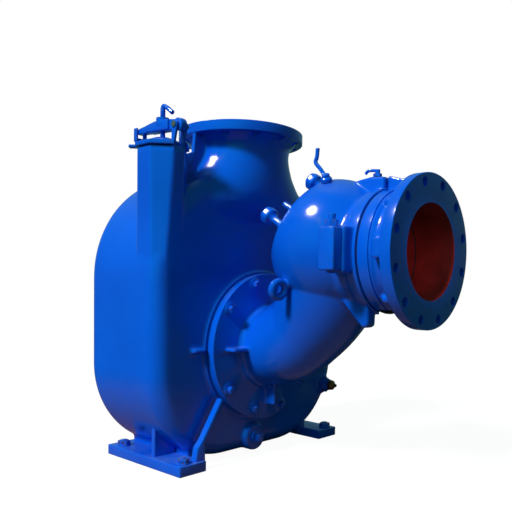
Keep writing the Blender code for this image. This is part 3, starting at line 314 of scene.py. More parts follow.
def add_glow(before, from_way, colour, start, end):
    """Brighter patch of sky round one direction."""
    toward = wt.nodes.new("ShaderNodeVectorMath")
    toward.operation = "DOT_PRODUCT"
    toward.inputs[1].default_value = from_way.normalized()
    wt.links.new(way, toward.inputs[0])
    share = remap(wt, toward.outputs["Value"], start, end, smooth=True)
    return mix_colour(wt, share, before, colour)


side_glow = add_glow(ramp.outputs["Color"], GLOW_FROM, GLOW_COLOUR, GLOW_EDGE, GLOW_CORE)
room = wt.nodes.new("ShaderNodeBackground")
wt.links.new(add_glow(side_glow, BACK_FROM, BACK_COLOUR, BACK_EDGE, BACK_CORE), room.inputs["Color"])
seen = wt.nodes.new("ShaderNodeBackground")
seen.inputs["Color"].default_value = WORLD_SEEN
rays = wt.nodes.new("ShaderNodeLightPath")
choose = wt.nodes.new("ShaderNodeMixShader")
wt.links.new(rays.outputs["Is Camera Ray"], choose.inputs["Fac"])
wt.links.new(room.outputs["Background"], choose.inputs[1])
wt.links.new(seen.outputs["Background"], choose.inputs[2])
world_out = wt.nodes.new("ShaderNodeOutputWorld")
wt.links.new(choose.outputs["Shader"], world_out.inputs["Surface"])
print("a graded sky with two glows")

# %% [markdown]
# ## Helpers for shapes
# Every shape starts from a few operators: a profile is spun, an outline is extruded, a cube
# or cone is scaled and bevelled, and rings are bridged into a tube, as for a bent bar. Each
# helper adds one closed shell to a bmesh.


# %% Spun shells
def turn(along):
    """Rotation that takes +Z to a direction."""
    return Vector(along).to_track_quat("Z", "Y").to_matrix().to_4x4()


def spin_shell(bm, profile, at, along=Z, steps=96):
    """Spin points of (radius, height) round an axis, closed on the axis or on themselves."""
    place = Matrix.Translation(at) @ turn(along)
    verts = [bm.verts.new((r, 0, h)) for r, h in profile]
    pairs = list(zip(verts, verts[1:]))
    if profile[0][0] > 0:
        pairs.append((verts[-1], verts[0]))
    edges = [bm.edges.new(pair) for pair in pairs]
    known = set(bm.verts) - set(verts)
    bmesh.ops.spin(bm, geom=verts + edges, cent=(0, 0, 0), axis=(0, 0, 1), angle=math.tau, steps=steps,
        use_merge=True, use_duplicate=False)
    made = [v for v in bm.verts if v not in known]
    bmesh.ops.remove_doubles(bm, verts=made, dist=1e-6)
    made = [v for v in bm.verts if v not in known]
    bmesh.ops.transform(bm, matrix=place, verts=made)
    return made


def rounded(points, radius, steps=4):
    """Round the inner corners of an open profile with small arcs."""
    result = [points[0]]
    for before, corner, after in zip(points, points[1:], points[2:]):
        a, b, c = Vector(before), Vector(corner), Vector(after)
        reach = min(radius, (a - b).length * 0.45, (c - b).length * 0.45)
        start = b + (a - b).normalized() * reach
        end = b + (c - b).normalized() * reach
        for i in range(steps + 1):
            t = i / steps
            point = start * (1 - t) ** 2 + b * 2 * t * (1 - t) + end * t ** 2
            result.append(tuple(point))
    result.append(points[-1])
    return result


def disc_shell(bm, radius, thick, at, along=Z, edge=0.002, steps=96):
    """Solid disc from a point along a direction, with rounded rims."""
    profile = rounded([(0, 0), (radius, 0), (radius, thick), (0, thick)], edge)
    return spin_shell(bm, profile, at, along, steps)


def rod_shell(bm, start, end, radius, steps=24):
    """Plain round bar between two points."""
    start, end = Vector(start), Vector(end)
    span = end - start
    place = Matrix.Translation((start + end) / 2) @ turn(span)
    return bmesh.ops.create_cone(bm, cap_ends=True, segments=steps, radius1=radius, radius2=radius,
        depth=span.length, matrix=place)["verts"]


print("spun shells: a spin, a disc and a rod")


# %% Straight shells
def soften(bm, verts, width, segments=3, sharper_than=30):
    """Bevel the sharp edges of one shell."""
    edges = {e for v in verts for e in v.link_edges if len(e.link_faces) == 2}
    sharp = [e for e in edges if e.calc_face_angle(0) > math.radians(sharper_than)]
    if width > 0 and sharp:
        bmesh.ops.bevel(bm, geom=sharp, offset=width, segments=segments, profile=0.5, affect="EDGES",
            material=-1)


def block_shell(bm, low, high, edge=0.003):
    """Rectangular block between two corners, with rounded edges."""
    low, high = Vector(low), Vector(high)
    size = high - low
    place = Matrix.Translation((low + high) / 2) @ Matrix.Diagonal((*size, 1))
    verts = bmesh.ops.create_cube(bm, size=1, matrix=place)["verts"]
    soften(bm, verts, edge)


def outline_shell(bm, outline, axis, start, depth, edge=0.003, segments=3):
    """Extrude an outline along X, Y or Z and round its edges."""
    order = {
        "x": lambda a, b: (start, a, b),
        "y": lambda a, b: (a, start, b),
        "z": lambda a, b: (a, b, start),
    }[axis]
    step = {"x": X, "y": Y, "z": Z}[axis] * depth
    face = bm.faces.new([bm.verts.new(order(a, b)) for a, b in outline])
    result = bmesh.ops.extrude_face_region(bm, geom=[face])
    moved = [v for v in result["geom"] if isinstance(v, bmesh.types.BMVert)]
    bmesh.ops.translate(bm, vec=step, verts=moved)
    verts = list(face.verts) + moved
    shell_faces = {f for v in verts for f in v.link_faces}
    bmesh.ops.recalc_face_normals(bm, faces=list(shell_faces))
    soften(bm, verts, edge, segments)


print("straight shells: a block and an extruded outline")


# %% Tubes and bent bars
def tube_shell(bm, points, radii, steps=64):
    """Tube through points, a ring at each, bridged and capped."""
    rings = []
    for i, (point, radius) in enumerate(zip(points, radii)):
        before = points[max(i - 1, 0)]
        after = points[min(i + 1, len(points) - 1)]
        place = Matrix.Translation(point) @ turn(after - before)
        rings.append(bmesh.ops.create_circle(bm, segments=steps, radius=radius, matrix=place)["verts"])
    for lower, upper in zip(rings, rings[1:]):
        edges = []
        for ring in (lower, upper):
            members = set(ring)
            near = {e for v in ring for e in v.link_edges}
            edges += [e for e in near if e.verts[0] in members and e.verts[1] in members]
        bmesh.ops.bridge_loops(bm, edges=edges)
    for ring in (rings[0], rings[-1]):
        bmesh.ops.contextual_create(bm, geom=ring)


def bend(p0, p1, p2, p3, count):
    """Points on a cubic curve."""
    points = []
    for i in range(count + 1):
        t = i / count
        s = 1 - t
        points.append(p0 * s ** 3 + p1 * 3 * s * s * t + p2 * 3 * s * t * t + p3 * t ** 3)
    return points


def bent_bar(bm, route, radius, steps=20, count=18):
    """Round bar through a few points, eased into one smooth bend."""
    points = []
    for before, start, end, after in zip([route[0]] + route, route, route[1:], route[2:] + [route[-1]]):
        for i in range(count):
            t = i / count
            slope = (end - before) * t
            bow = (2 * before - 5 * start + 4 * end - after) * t * t
            twist = (3 * start - before - 3 * end + after) * t ** 3
            points.append(0.5 * (2 * start + slope + bow + twist))
    points.append(route[-1])
    tube_shell(bm, points, [radius] * len(points), steps)


print("bent shells: a tube through rings and a bar through a few points")


# %% Arcs and circles
def arc(centre, radius, start, end, steps):
    """Points on an arc in degrees, both ends included."""
    turns = [math.radians(start + (end - start) * i / steps) for i in range(steps + 1)]
    return [(centre[0] + radius * math.cos(a), centre[1] + radius * math.sin(a)) for a in turns]


def on_circle(centre, normal, radius, count, start=0.5):
    """Points spread round a circle, the first one a share of a step past the start."""
    across = Vector(normal).orthogonal().normalized()
    if abs(Vector(normal).dot(Z)) < 0.9:
        across = Vector(normal).cross(Z).normalized()
    other = Vector(normal).normalized().cross(across)
    points = []
    for i in range(count):
        angle = math.tau * (i + start) / count
        points.append(Vector(centre) + across * radius * math.cos(angle)
            + other * radius * math.sin(angle))
    return points


print("a quarter arc in 4 steps has", len(arc((0, 0), 1, 0, 90, 4)), "points")

# %% [markdown]
# ## From shells to pieces
# A casting has no sharp inside corner, because molten iron needs a fillet in every one. The
# quick way to get fillets over a whole body is to lay its shells over each other, remesh the
# lot into one skin of even squares, and smooth that a little. Machined faces come after, as
# they do in the shop: crisp discs are joined on and bores are cut out with Boolean modifiers.

# %% Objects from shells
def make_object(name, bm):
    """Turn a bmesh into an object at the origin, with its faces pointing out."""
    bmesh.ops.recalc_face_normals(bm, faces=bm.faces)
    mesh = bpy.data.meshes.new(name)
    bm.to_mesh(mesh)
    bm.free()
    obj = bpy.data.objects.new(name, mesh)
    bpy.context.scene.collection.objects.link(obj)
    return obj


def settle(obj):
    """Apply an object's modifiers."""
    graph = bpy.context.evaluated_depsgraph_get()
    mesh = bpy.data.meshes.new_from_object(obj.evaluated_get(graph))
    obj.modifiers.clear()
    obj.data = mesh
    return obj


def cast(name, bm, voxel, passes):
    """Fuse overlapping shells into one skin with soft corners."""
    obj = make_object(name, bm)
    fuse = obj.modifiers.new("fuse", "REMESH")
    fuse.mode = "VOXEL"
    fuse.voxel_size = voxel
    ease = obj.modifiers.new("ease", "SMOOTH")
    ease.factor = 0.5
    ease.iterations = passes
    return settle(obj)


print("a casting is fused, then eased, then settled")

# %% Machining and finishing
SMOOTH_BELOW = 32


def machine(obj, bm, operation):
    """Join or cut an object with the shells of a bmesh, which don't touch each other."""
    tool = make_object(obj.name + "_tool", bm)
    work = obj.modifiers.new("work", "BOOLEAN")
    work.operation = operation
    work.object = tool
    work.solver = "MANIFOLD"
    settle(obj)
    bpy.data.objects.remove(tool)
    return obj


def shade(obj, material, angle=SMOOTH_BELOW):
    """Smooth shading with crisp edges, and one material."""
    obj.data.shade_smooth()
    obj.data.set_sharp_from_angle(angle=math.radians(angle))
    obj.data.materials.clear()
    obj.data.materials.append(material)
    return obj


def place_piece(obj, *nodes, body="pump", slot="blue_enamel"):
    """Let a piece ride on a body and hide the nodes it stands for. The slot argument is not used."""
    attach(obj, body)
    if nodes:
        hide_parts(*nodes)
    print(obj.name, "has", len(obj.data.polygons), "faces")


print("edges stay crisp above", SMOOTH_BELOW, "degrees")

# %% [markdown]
# ## Bolts and nuts
# A hexagon bolt is a six-sided bar with its corners turned off at a slant, on a thin washer.
# One helper makes a head or a nut, with or without the end of its stud.


# %% Fasteners
HEX_SIDES = 6


def hexagon(bm, at, along, across_flats, height, stud=0.0, stud_share=0.5, washer=0.0, turned=0.0):
    """Hexagon head or nut with a chamfered top, an optional washer below and stud above."""
    along = Vector(along).normalized()
    at = Vector(at)
    if washer > 0:
        disc_shell(bm, across_flats * 0.62, washer, at, along, edge=0.0006, steps=32)
        at = at + along * washer
    corner = across_flats / math.sqrt(3)
    place = Matrix.Translation(at + along * height / 2) @ turn(along) @ Matrix.Rotation(turned, 4, "Z")
    verts = bmesh.ops.create_cone(bm, cap_ends=True, segments=HEX_SIDES, radius1=corner, radius2=corner,
        depth=height, matrix=place)["verts"]
    top = [v for v in verts if (v.co - at).dot(along) > height * 0.5]
    rim = [e for v in top for e in v.link_edges if e.other_vert(v) in top]
    bmesh.ops.bevel(bm, geom=list(set(rim)), offset=height * 0.13, segments=2, profile=0.5,
        affect="EDGES", material=-1)
    if stud > 0:
        radius = across_flats * stud_share / 2
        disc_shell(bm, radius, stud, at + along * (height - 0.001), along, edge=radius * 0.25, steps=20)


print("a head or a nut has", HEX_SIDES, "flats")

# %% [markdown]
# ## Finishes
# Gloss enamel over a sand casting is one hard skin over a fine rough one. The paint levels
# the grain but never hides it, so the bump is low and wide, and a clear coat sits on top with
# its own sharp gloss. Handling wears the paint a little at edges, and dust settles on what
# faces up. These effects are shader groups that every blue finish shares.


# %% Cast skin group
def new_group(name, inputs, outputs):
    """Empty node group with float, colour or vector sockets."""
    group = bpy.data.node_groups.new(name, "ShaderNodeTree")
    for socket, kind, value in inputs:
        made = group.interface.new_socket(name=socket, in_out="INPUT", socket_type=kind)
        if value is not None:
            made.default_value = value
    for socket, kind in outputs:
        group.interface.new_socket(name=socket, in_out="OUTPUT", socket_type=kind)
    return group, group.nodes.new("NodeGroupInput"), group.nodes.new("NodeGroupOutput")


FLOAT = "NodeSocketFloat"
VECTOR = "NodeSocketVector"

cast_skin, skin_in, skin_out = new_group("cast_skin", [("Place", VECTOR, None),
    ("Grain Size", FLOAT, 260.0), ("Grain", FLOAT, 0.5), ("Waviness", FLOAT, 0.5)], [("Height", FLOAT)])
fine = cast_skin.nodes.new("ShaderNodeTexNoise")
fine.inputs["Detail"].default_value = 4.0
cast_skin.links.new(skin_in.outputs["Place"], fine.inputs["Vector"])
cast_skin.links.new(skin_in.outputs["Grain Size"], fine.inputs["Scale"])
wide = noise(cast_skin, skin_in.outputs["Place"], 14.0, 2.0)
pits = cast_skin.nodes.new("ShaderNodeTexVoronoi")
pits.inputs["Scale"].default_value = 95.0
cast_skin.links.new(skin_in.outputs["Place"], pits.inputs["Vector"])
pit_depth = remap(cast_skin, pits.outputs["Distance"], 0.0, 0.12, -0.35, 0.0)
grain = calc(cast_skin, "MULTIPLY", fine.outputs["Fac"], skin_in.outputs["Grain"])
wave = calc(cast_skin, "MULTIPLY", wide, skin_in.outputs["Waviness"])
pitted = calc(cast_skin, "MULTIPLY", pit_depth, skin_in.outputs["Grain"])
skin_sum = calc(cast_skin, "ADD", calc(cast_skin, "ADD", grain, wave), pitted)
cast_skin.links.new(skin_sum, skin_out.inputs["Height"])
print("cast skin:", len(cast_skin.nodes), "nodes")

# %% Weathering group

weathering, weather_in, weather_out = new_group("weathering",
    [("Place", VECTOR, None), ("Edge Wear", FLOAT, 0.3), ("Dust", FLOAT, 0.3)],
    [("Worn", FLOAT), ("Dusty", FLOAT), ("Shade", FLOAT)])
shape = weathering.nodes.new("ShaderNodeNewGeometry")
edge = remap(weathering, shape.outputs["Pointiness"], 0.535, 0.60)
chips = remap(weathering, noise(weathering, weather_in.outputs["Place"], 85.0, 4.0), 0.52, 0.60)
chipped_edge = calc(weathering, "MULTIPLY", edge, chips)
worn = calc(weathering, "MULTIPLY", chipped_edge, weather_in.outputs["Edge Wear"])
upward = weathering.nodes.new("ShaderNodeSeparateXYZ")
weathering.links.new(shape.outputs["Normal"], upward.inputs[0])
settled = remap(weathering, upward.outputs["Z"], 0.55, 1.0)
patches = remap(weathering, noise(weathering, weather_in.outputs["Place"], 9.0, 5.0), 0.42, 0.70)
lying = calc(weathering, "MULTIPLY", settled, patches)
dusty = calc(weathering, "MULTIPLY", lying, weather_in.outputs["Dust"])
shade_noise = remap(weathering, noise(weathering, weather_in.outputs["Place"], 3.2, 3.0), 0.3, 0.7)
weathering.links.new(worn, weather_out.inputs["Worn"])
weathering.links.new(dusty, weather_out.inputs["Dusty"])
weathering.links.new(shade_noise, weather_out.inputs["Shade"])
print("weathering:", len(weathering.nodes), "nodes")


# %% Groups and bumps in a material


def add_group(tree, group, **values):
    """Put a shader group into a tree and set or link its inputs."""
    node = tree.nodes.new("ShaderNodeGroup")
    node.node_tree = group
    for name, value in values.items():
        socket = node.inputs[name.replace("_", " ")]
        if isinstance(value, (int, float)):
            socket.default_value = value
        else:
            tree.links.new(value, socket)
    return node


def add_bump(tree, shader, height, distance, coat=True):
    """Bump the shader, and the clear coat with it unless told not to."""
    bump = tree.nodes.new("ShaderNodeBump")
    bump.inputs["Strength"].default_value = 1.0
    bump.inputs["Distance"].default_value = distance
    tree.links.new(height, bump.inputs["Height"])
    tree.links.new(bump.outputs["Normal"], shader.inputs["Normal"])
    if coat:
        tree.links.new(bump.outputs["Normal"], shader.inputs["Coat Normal"])


print("two shader groups: the cast skin and the weathering")

# %% Blue enamel
ENAMEL = (0.0012, 0.106, 0.74, 1)
ENAMEL_DEEP = (0.0008, 0.082, 0.62, 1)
PRIMER = (0.075, 0.016, 0.010, 1)
DUST = (0.24, 0.27, 0.34, 1)
ENAMEL_IOR = 1.5
COAT_WEIGHT = 0.35
COAT_ROUGHNESS = 0.06


def blue_enamel(name, grain=0.5, waviness=0.5, wear=0.25, dust=0.25, depth=0.0006, gloss=0.16):
    """Gloss paint over a casting, with worn edges and dust on what faces up."""
    material, tree, shader = shader_material(name)
    place = place_of(tree)
    skin = add_group(tree, cast_skin, Place=place, Grain=grain, Waviness=waviness)
    weather = add_group(tree, weathering, Place=place, Edge_Wear=wear, Dust=dust)
    paint = mix_colour(tree, weather.outputs["Shade"], ENAMEL_DEEP, ENAMEL)
    dusted = mix_colour(tree, weather.outputs["Dusty"], paint, DUST)
    chipped = mix_colour(tree, weather.outputs["Worn"], dusted, PRIMER)
    tree.links.new(chipped, shader.inputs["Base Color"])
    rough = calc(tree, "ADD", calc(tree, "MULTIPLY", weather.outputs["Dusty"], 0.5), gloss)
    rough = calc(tree, "ADD", rough, calc(tree, "MULTIPLY", weather.outputs["Worn"], 0.4))
    tree.links.new(rough, shader.inputs["Roughness"])
    shader.inputs["IOR"].default_value = ENAMEL_IOR
    shader.inputs["Coat Weight"].default_value = COAT_WEIGHT
    shader.inputs["Coat Roughness"].default_value = COAT_ROUGHNESS
    add_bump(tree, shader, skin.outputs["Height"], depth)
    return material


CAST_BLUE = blue_enamel("enamel_on_casting")
PLATE_BLUE = blue_enamel("enamel_on_machined_face", grain=0.25, waviness=0.25, depth=0.0004)
SMALL_BLUE = blue_enamel("enamel_on_small_parts", grain=0.35, waviness=0.2, wear=0.5, depth=0.0003)
print("blue finishes:", [finish.name for finish in (CAST_BLUE, PLATE_BLUE, SMALL_BLUE)])

# %% [markdown]
# ## Primer in the bores
# The enamel stops at the mouths of the bores. Inside, the casting shows its red oxide primer,
# which is matt. It has the same cast skin as the enamel, but no clear coat, and two reds in
# soft patches.

# %% Primer
BORE_DARK = (0.24, 0.010, 0.010, 1)
BORE_LIGHT = (0.42, 0.016, 0.018, 1)
primer, primer_tree, primer_shader = shader_material("red_oxide_primer")
primer_place = place_of(primer_tree)
primer_skin = add_group(primer_tree, cast_skin, Place=primer_place, Grain=0.8, Waviness=0.6)
primer_shade = noise(primer_tree, primer_place, 16.0, 5.0)
primer_mask = remap(primer_tree, primer_shade, 0.35, 0.65)
primer_colour = mix_colour(primer_tree, primer_mask, BORE_DARK, BORE_LIGHT)
primer_tree.links.new(primer_colour, primer_shader.inputs["Base Color"])
primer_rough = remap(primer_tree, primer_shade, 0.3, 0.7, 0.55, 0.75)
primer_tree.links.new(primer_rough, primer_shader.inputs["Roughness"])
add_bump(primer_tree, primer_shader, primer_skin.outputs["Height"], 0.0006, coat=False)
print("the bores are painted with", primer.name)

# %% [markdown]
# ## Metal, rubber and glass
# Zinc plate is a satin grey with a faint streak, red brass is warmer and duller where it has
# been handled, and gasket sheet is matt black with a fibrous edge.


# %% Other finishes
def metal(name, bright, dull, metallic, rough_low, rough_high, scale, depth, stretch=(1, 1, 1)):
    """Two tones of one surface in soft patches, with a fine streak as bump."""
    material, tree, shader = shader_material(name)
    place = tree.nodes.new("ShaderNodeMapping")
    tree.links.new(place_of(tree), place.inputs["Vector"])
    place.inputs["Scale"].default_value = stretch
    tone = noise(tree, place.outputs["Vector"], scale, 4.0)
    streak = noise(tree, place.outputs["Vector"], scale * 7, 3.0)
    colour = mix_colour(tree, remap(tree, tone, 0.35, 0.65), dull, bright)
    tree.links.new(colour, shader.inputs["Base Color"])
    tree.links.new(remap(tree, tone, 0.3, 0.7, rough_high, rough_low), shader.inputs["Roughness"])
    shader.inputs["Metallic"].default_value = metallic
    add_bump(tree, shader, streak, depth, coat=False)
    return material


ZINC = metal("zinc_plate", (0.62, 0.64, 0.68, 1), (0.40, 0.41, 0.44, 1), 1.0, 0.26, 0.46, 55.0, 0.00012)
TURNED_STEEL = metal("turned_steel", (0.60, 0.61, 0.63, 1), (0.45, 0.46, 0.48, 1), 1.0, 0.18, 0.30,
    30.0, 0.00008, stretch=(12, 1, 1))
RED_BRASS = metal("red_brass_dull", (0.42, 0.17, 0.08, 1), (0.19, 0.05, 0.03, 1), 0.75, 0.32, 0.55,
    60.0, 0.0002)
GASKET = metal("gasket_sheet", (0.030, 0.030, 0.034, 1), (0.012, 0.012, 0.014, 1), 0.0, 0.75, 0.90,
    120.0, 0.0004)
AMBER = metal("amber_glass", (0.62, 0.36, 0.08, 1), (0.40, 0.20, 0.03, 1), 0.0, 0.05, 0.12, 20.0, 0.00005)
AMBER.node_tree.nodes["Principled BSDF"].inputs["Coat Weight"].default_value = 1.0

CAD_FINISHES = {
    "valve_gasket": GASKET, "access_gasket": GASKET, "cover_gasket": GASKET, "fill_gasket": GASKET,
    "back_gasket": GASKET, "clamp_pin": ZINC, "drive_shaft": TURNED_STEEL, "shaft_key": TURNED_STEEL,
    "oil_sight_glass": AMBER, "oil_fill_plug": ZINC,
}
for node_name, node_finish in CAD_FINISHES.items():
    node_object = bpy.data.objects[node_name]
    node_object.data.materials.clear()
    node_object.data.materials.append(node_finish)
print("finishes:", len(bpy.data.materials))

# %% [markdown]
# ## Suction spool
# The spool is the short flanged pipe on the suction side. Its soft web and lug come from the
# sand mould, so the body is cast as one skin, and the two flange faces, which a lathe cuts,
# are joined on crisp. The bore keeps its red primer, because it meets sewage and not daylight.

# %% Flange sizes
FLANGE_R = (spool_high.y - spool_low.y) / 2
FLANGE_THICK = 0.0302
BORE_R = 0.127
BOLT_CIRCLE_R = 0.181
BOLT_HOLE_R = 0.0127
BOLT_COUNT = 12
SPOOL_NECK_R = 0.158
SPOOL_BACK_R = 0.170
SPOOL_BACK_THICK = 0.036
TOP_RISE = 0.203
FLAT_DROP = 0.153
WEB_HALF = 0.042
SPOOL_LUG_ANGLES = (-140, -40, 40, 140)
SUCTION = Vector((SUCTION_X, 0, SUCTION_Z))


def flange_holes(at, along, depth):
    """Bolt holes of a pipe flange, straddling its centre lines."""
    bm = bmesh.new()
    for point in on_circle(at, along, BOLT_CIRCLE_R, BOLT_COUNT):
        rod_shell(bm, point - along * 0.01, point + along * (depth + 0.01), BOLT_HOLE_R, 32)
    return bm


def paint_bore(obj, centre, along, radius, near, far):
    """Give the primer to the faces that look into a bore."""
    obj.data.materials.append(primer)
    for face in obj.data.polygons:
        across = face.center - centre
        depth = across.dot(along)
        across -= along * depth
        if near < depth < far and across.length < radius + 0.002:
            if face.normal.dot(across) < -0.3 * across.length or abs(face.normal.dot(along)) > 0.8:
                face.material_index = 1


print("a flange is", round(2 * FLANGE_R, 3), "m across and has", BOLT_COUNT, "bolt holes")

# %% Spool casting
bm = bmesh.new()
spool_profile = [(0, 0.004), (SPOOL_BACK_R - 0.004, 0.004), (SPOOL_BACK_R - 0.004, SPOOL_BACK_THICK),
    (SPOOL_NECK_R, SPOOL_BACK_THICK + 0.006), (SPOOL_NECK_R, 0.080), (FLANGE_R - 0.008, 0.096),
    (FLANGE_R - 0.008, 0.112), (0, 0.112)]
spin_shell(bm, rounded(spool_profile, 0.004), (SPOOL_BACK_X, 0, SUCTION_Z), X, 128)
web_top = SUCTION_Z + TOP_RISE
web_outline = [(SPOOL_BACK_X + 0.003, SUCTION_Z + 0.12), (SUCTION_X - 0.016, SUCTION_Z + 0.12),
    (SUCTION_X - 0.016, web_top - 0.024), (SPOOL_BACK_X + SPOOL_BACK_THICK, web_top - 0.010),
    (SPOOL_BACK_X + 0.003, web_top - 0.001)]
outline_shell(bm, web_outline, "y", -WEB_HALF + 0.002, 2 * WEB_HALF - 0.004, 0.004)
block_shell(bm, (SPOOL_BACK_X + SPOOL_BACK_THICK + 0.014, -SPOOL_NECK_R - 0.024, SUCTION_Z - 0.022),
    (SUCTION_X - FLANGE_THICK - 0.006, -SPOOL_NECK_R * 0.9, SUCTION_Z + 0.028), 0.004)
for lug_angle in SPOOL_LUG_ANGLES:
    turned_lug = Matrix.Rotation(math.radians(lug_angle), 3, "X")
    lug_place = SUCTION + turned_lug @ Vector((0, 0, SPOOL_NECK_R))
    disc_shell(bm, 0.015, 0.034, lug_place - X * (FLANGE_THICK + 0.046), X, 0.003, 32)
spool = cast("spool_casting", bm, voxel=0.0034, passes=5)
print("spool casting:", len(spool.data.polygons), "faces")

# %% Spool machining
bm = bmesh.new()
disc_shell(bm, FLANGE_R, FLANGE_THICK, SUCTION - X * FLANGE_THICK, X, 0.0022, 160)
disc_shell(bm, SPOOL_BACK_R, SPOOL_BACK_THICK - 0.004, (SPOOL_BACK_X, 0, SUCTION_Z), X, 0.0022, 160)
machine(spool, bm, "UNION")
machine(spool, flange_holes(SUCTION - X * FLANGE_THICK, X, FLANGE_THICK), "DIFFERENCE")
bm = bmesh.new()
rod_shell(bm, SUCTION - X * 0.16, SUCTION + X * 0.02, BORE_R, 128)
machine(spool, bm, "DIFFERENCE")
bm = bmesh.new()
block_shell(bm, (SPOOL_BACK_X - 0.01, -0.2, SUCTION_Z - 0.30),
    (SUCTION_X - FLANGE_THICK - 0.010, 0.2, SUCTION_Z - FLAT_DROP), 0)
machine(spool, bm, "DIFFERENCE")
shade(spool, PLATE_BLUE)
paint_bore(spool, SUCTION, X, BORE_R, -0.20, -0.003)
place_piece(spool, "suction_spool")

# %% [markdown]
# ## Suction head
# The head is one casting: a cover plate that closes the front of the casing, a fat bent tube
# and a bulb with the flap valve inside. Its shells are laid over each other, fused and eased,
# so that the tube flows into the bulb like poured iron. The plate, the outlet flange and the
# hinge boss are joined on after that, with the tighter edges that they have on the pump.

# %% Suction head sizes
BULB_R = 0.196
BULB = Vector((HEAD_FACE_X - 0.183, 0, SUCTION_Z + 0.018))
HEAD_FLANGE_R = 0.174
HEAD_FLANGE_THICK = 0.036
COVER_R = 0.233
COVER_THICK = 0.028
COVER_FRONT_X = COVER_BACK_X + COVER_THICK
COLLAR_R = 0.132
COVER_BOLT_R = 0.208
COVER_BOLTS = 10
TUBE_R = 0.122
TUBE_SWELL = 0.006
TUBE_FLARE = 0.046
FLARE_FROM = 0.45
HINGE_BORE_R = 0.0113
ACCESS_TILT = math.radians(60)
ACCESS_NORMAL = Vector((-math.sin(ACCESS_TILT), 0, math.cos(ACCESS_TILT)))
ACCESS_UP = Vector((math.cos(ACCESS_TILT), 0, math.sin(ACCESS_TILT)))
ACCESS_FACE = 0.090
ACCESS_R = 0.142
ACCESS_TOP = ACCESS_FACE + 0.021
KNOB_CIRCLE_R = 0.125
BOSS_PIN = Vector((HEAD_FACE_X - 0.0405, -0.2155, SUCTION_Z))
BOSS_HALF = Vector((0.0245, 0, 0.054))
EYE_WAY = Vector((-0.27, -0.80, -0.535)).normalized()
EYE_FOOT = BULB + EYE_WAY * BULB_R
SHAFT_FACE = Vector((COVER_FRONT_X, 0, SHAFT_Z))
print("the bulb is", round(2 * BULB_R, 3), "m across, the tube", round(2 * TUBE_R, 3), "m")

# %% Suction head casting
bm = bmesh.new()
tube_start = SHAFT_FACE - X * 0.020
tube_span = BULB - tube_start
tube_points = bend(tube_start, tube_start + X * tube_span.x * 0.52,
    BULB - Vector((tube_span.x * 0.06, 0, tube_span.z * 0.62)), BULB, 20)
tube_radii = []
for step in range(len(tube_points)):
    share = step / (len(tube_points) - 1)
    swell = math.sin(min(share / 0.3, 1) * math.pi / 2)
    throat = max(share - FLARE_FROM, 0) / (1 - FLARE_FROM)
    tube_radii.append(TUBE_R + TUBE_SWELL * swell + TUBE_FLARE * throat ** 1.2)
tube_shell(bm, tube_points, tube_radii)
bmesh.ops.create_uvsphere(bm, u_segments=96, v_segments=48, radius=BULB_R,
    matrix=Matrix.Translation(BULB))
disc_shell(bm, HEAD_FLANGE_R - 0.012, HEAD_FACE_X - 0.006 - BULB.x, (BULB.x, 0, SUCTION_Z), X, 0.004)
disc_shell(bm, HEAD_FLANGE_R - 0.003, HEAD_FLANGE_THICK - 0.006,
    (HEAD_FACE_X - HEAD_FLANGE_THICK + 0.003, 0, SUCTION_Z), X, 0.003)
disc_shell(bm, COVER_R - 0.003, COVER_THICK - 0.006, (COVER_BACK_X + 0.003, 0, SHAFT_Z), X, 0.004)
disc_shell(bm, COLLAR_R, 0.026, SHAFT_FACE - X * 0.012, X, 0.005)
crown_top = SUCTION_Z + TOP_RISE
crown_outline = [(HEAD_FACE_X - 0.112, crown_top - 0.062), (HEAD_FACE_X - 0.004, crown_top - 0.062),
    (HEAD_FACE_X - 0.004, crown_top - 0.001), (HEAD_FACE_X - 0.050, crown_top + 0.002),
    (HEAD_FACE_X - 0.100, crown_top - 0.005)]
outline_shell(bm, crown_outline, "y", -WEB_HALF + 0.002, 2 * WEB_HALF - 0.004, 0.005)
low_lug_z = SUCTION_Z - HEAD_FLANGE_R
low_lug_outline = [(HEAD_FACE_X - 0.100, low_lug_z + 0.050), (HEAD_FACE_X - 0.040, low_lug_z - 0.012),
    (HEAD_FACE_X - 0.020, low_lug_z - 0.030), (HEAD_FACE_X - 0.005, low_lug_z - 0.022),
    (HEAD_FACE_X - 0.005, low_lug_z + 0.070)]
outline_shell(bm, low_lug_outline, "y", -0.100, 0.042, 0.006)
block_shell(bm, (COVER_FRONT_X - 0.014, -COVER_R * 0.80, SHAFT_Z - 0.006),
    (COVER_FRONT_X + 0.040, -COLLAR_R * 0.8, SHAFT_Z + 0.006), 0.003)
block_shell(bm, (COVER_FRONT_X - 0.014, -0.006, SHAFT_Z - COVER_R * 0.80),
    (COVER_FRONT_X + 0.036, 0.006, SHAFT_Z - COLLAR_R * 0.8), 0.003)
block_shell(bm, (BOSS_PIN.x - 0.030, -0.205, SUCTION_Z - 0.060),
    (BOSS_PIN.x + 0.030, -0.120, SUCTION_Z + 0.060), 0.006)
disc_shell(bm, 0.024, 0.020, EYE_FOOT - EYE_WAY * 0.018, EYE_WAY, 0.004, 48)
for bolt_place in on_circle(SHAFT_FACE, X, COVER_BOLT_R, COVER_BOLTS, start=0.0)[1:]:
    disc_shell(bm, 0.021, 0.012, bolt_place - X * 0.010, X, 0.002, 40)
head = cast("suction_head_casting", bm, voxel=0.0040, passes=7)
print("head casting:", len(head.data.polygons), "faces")

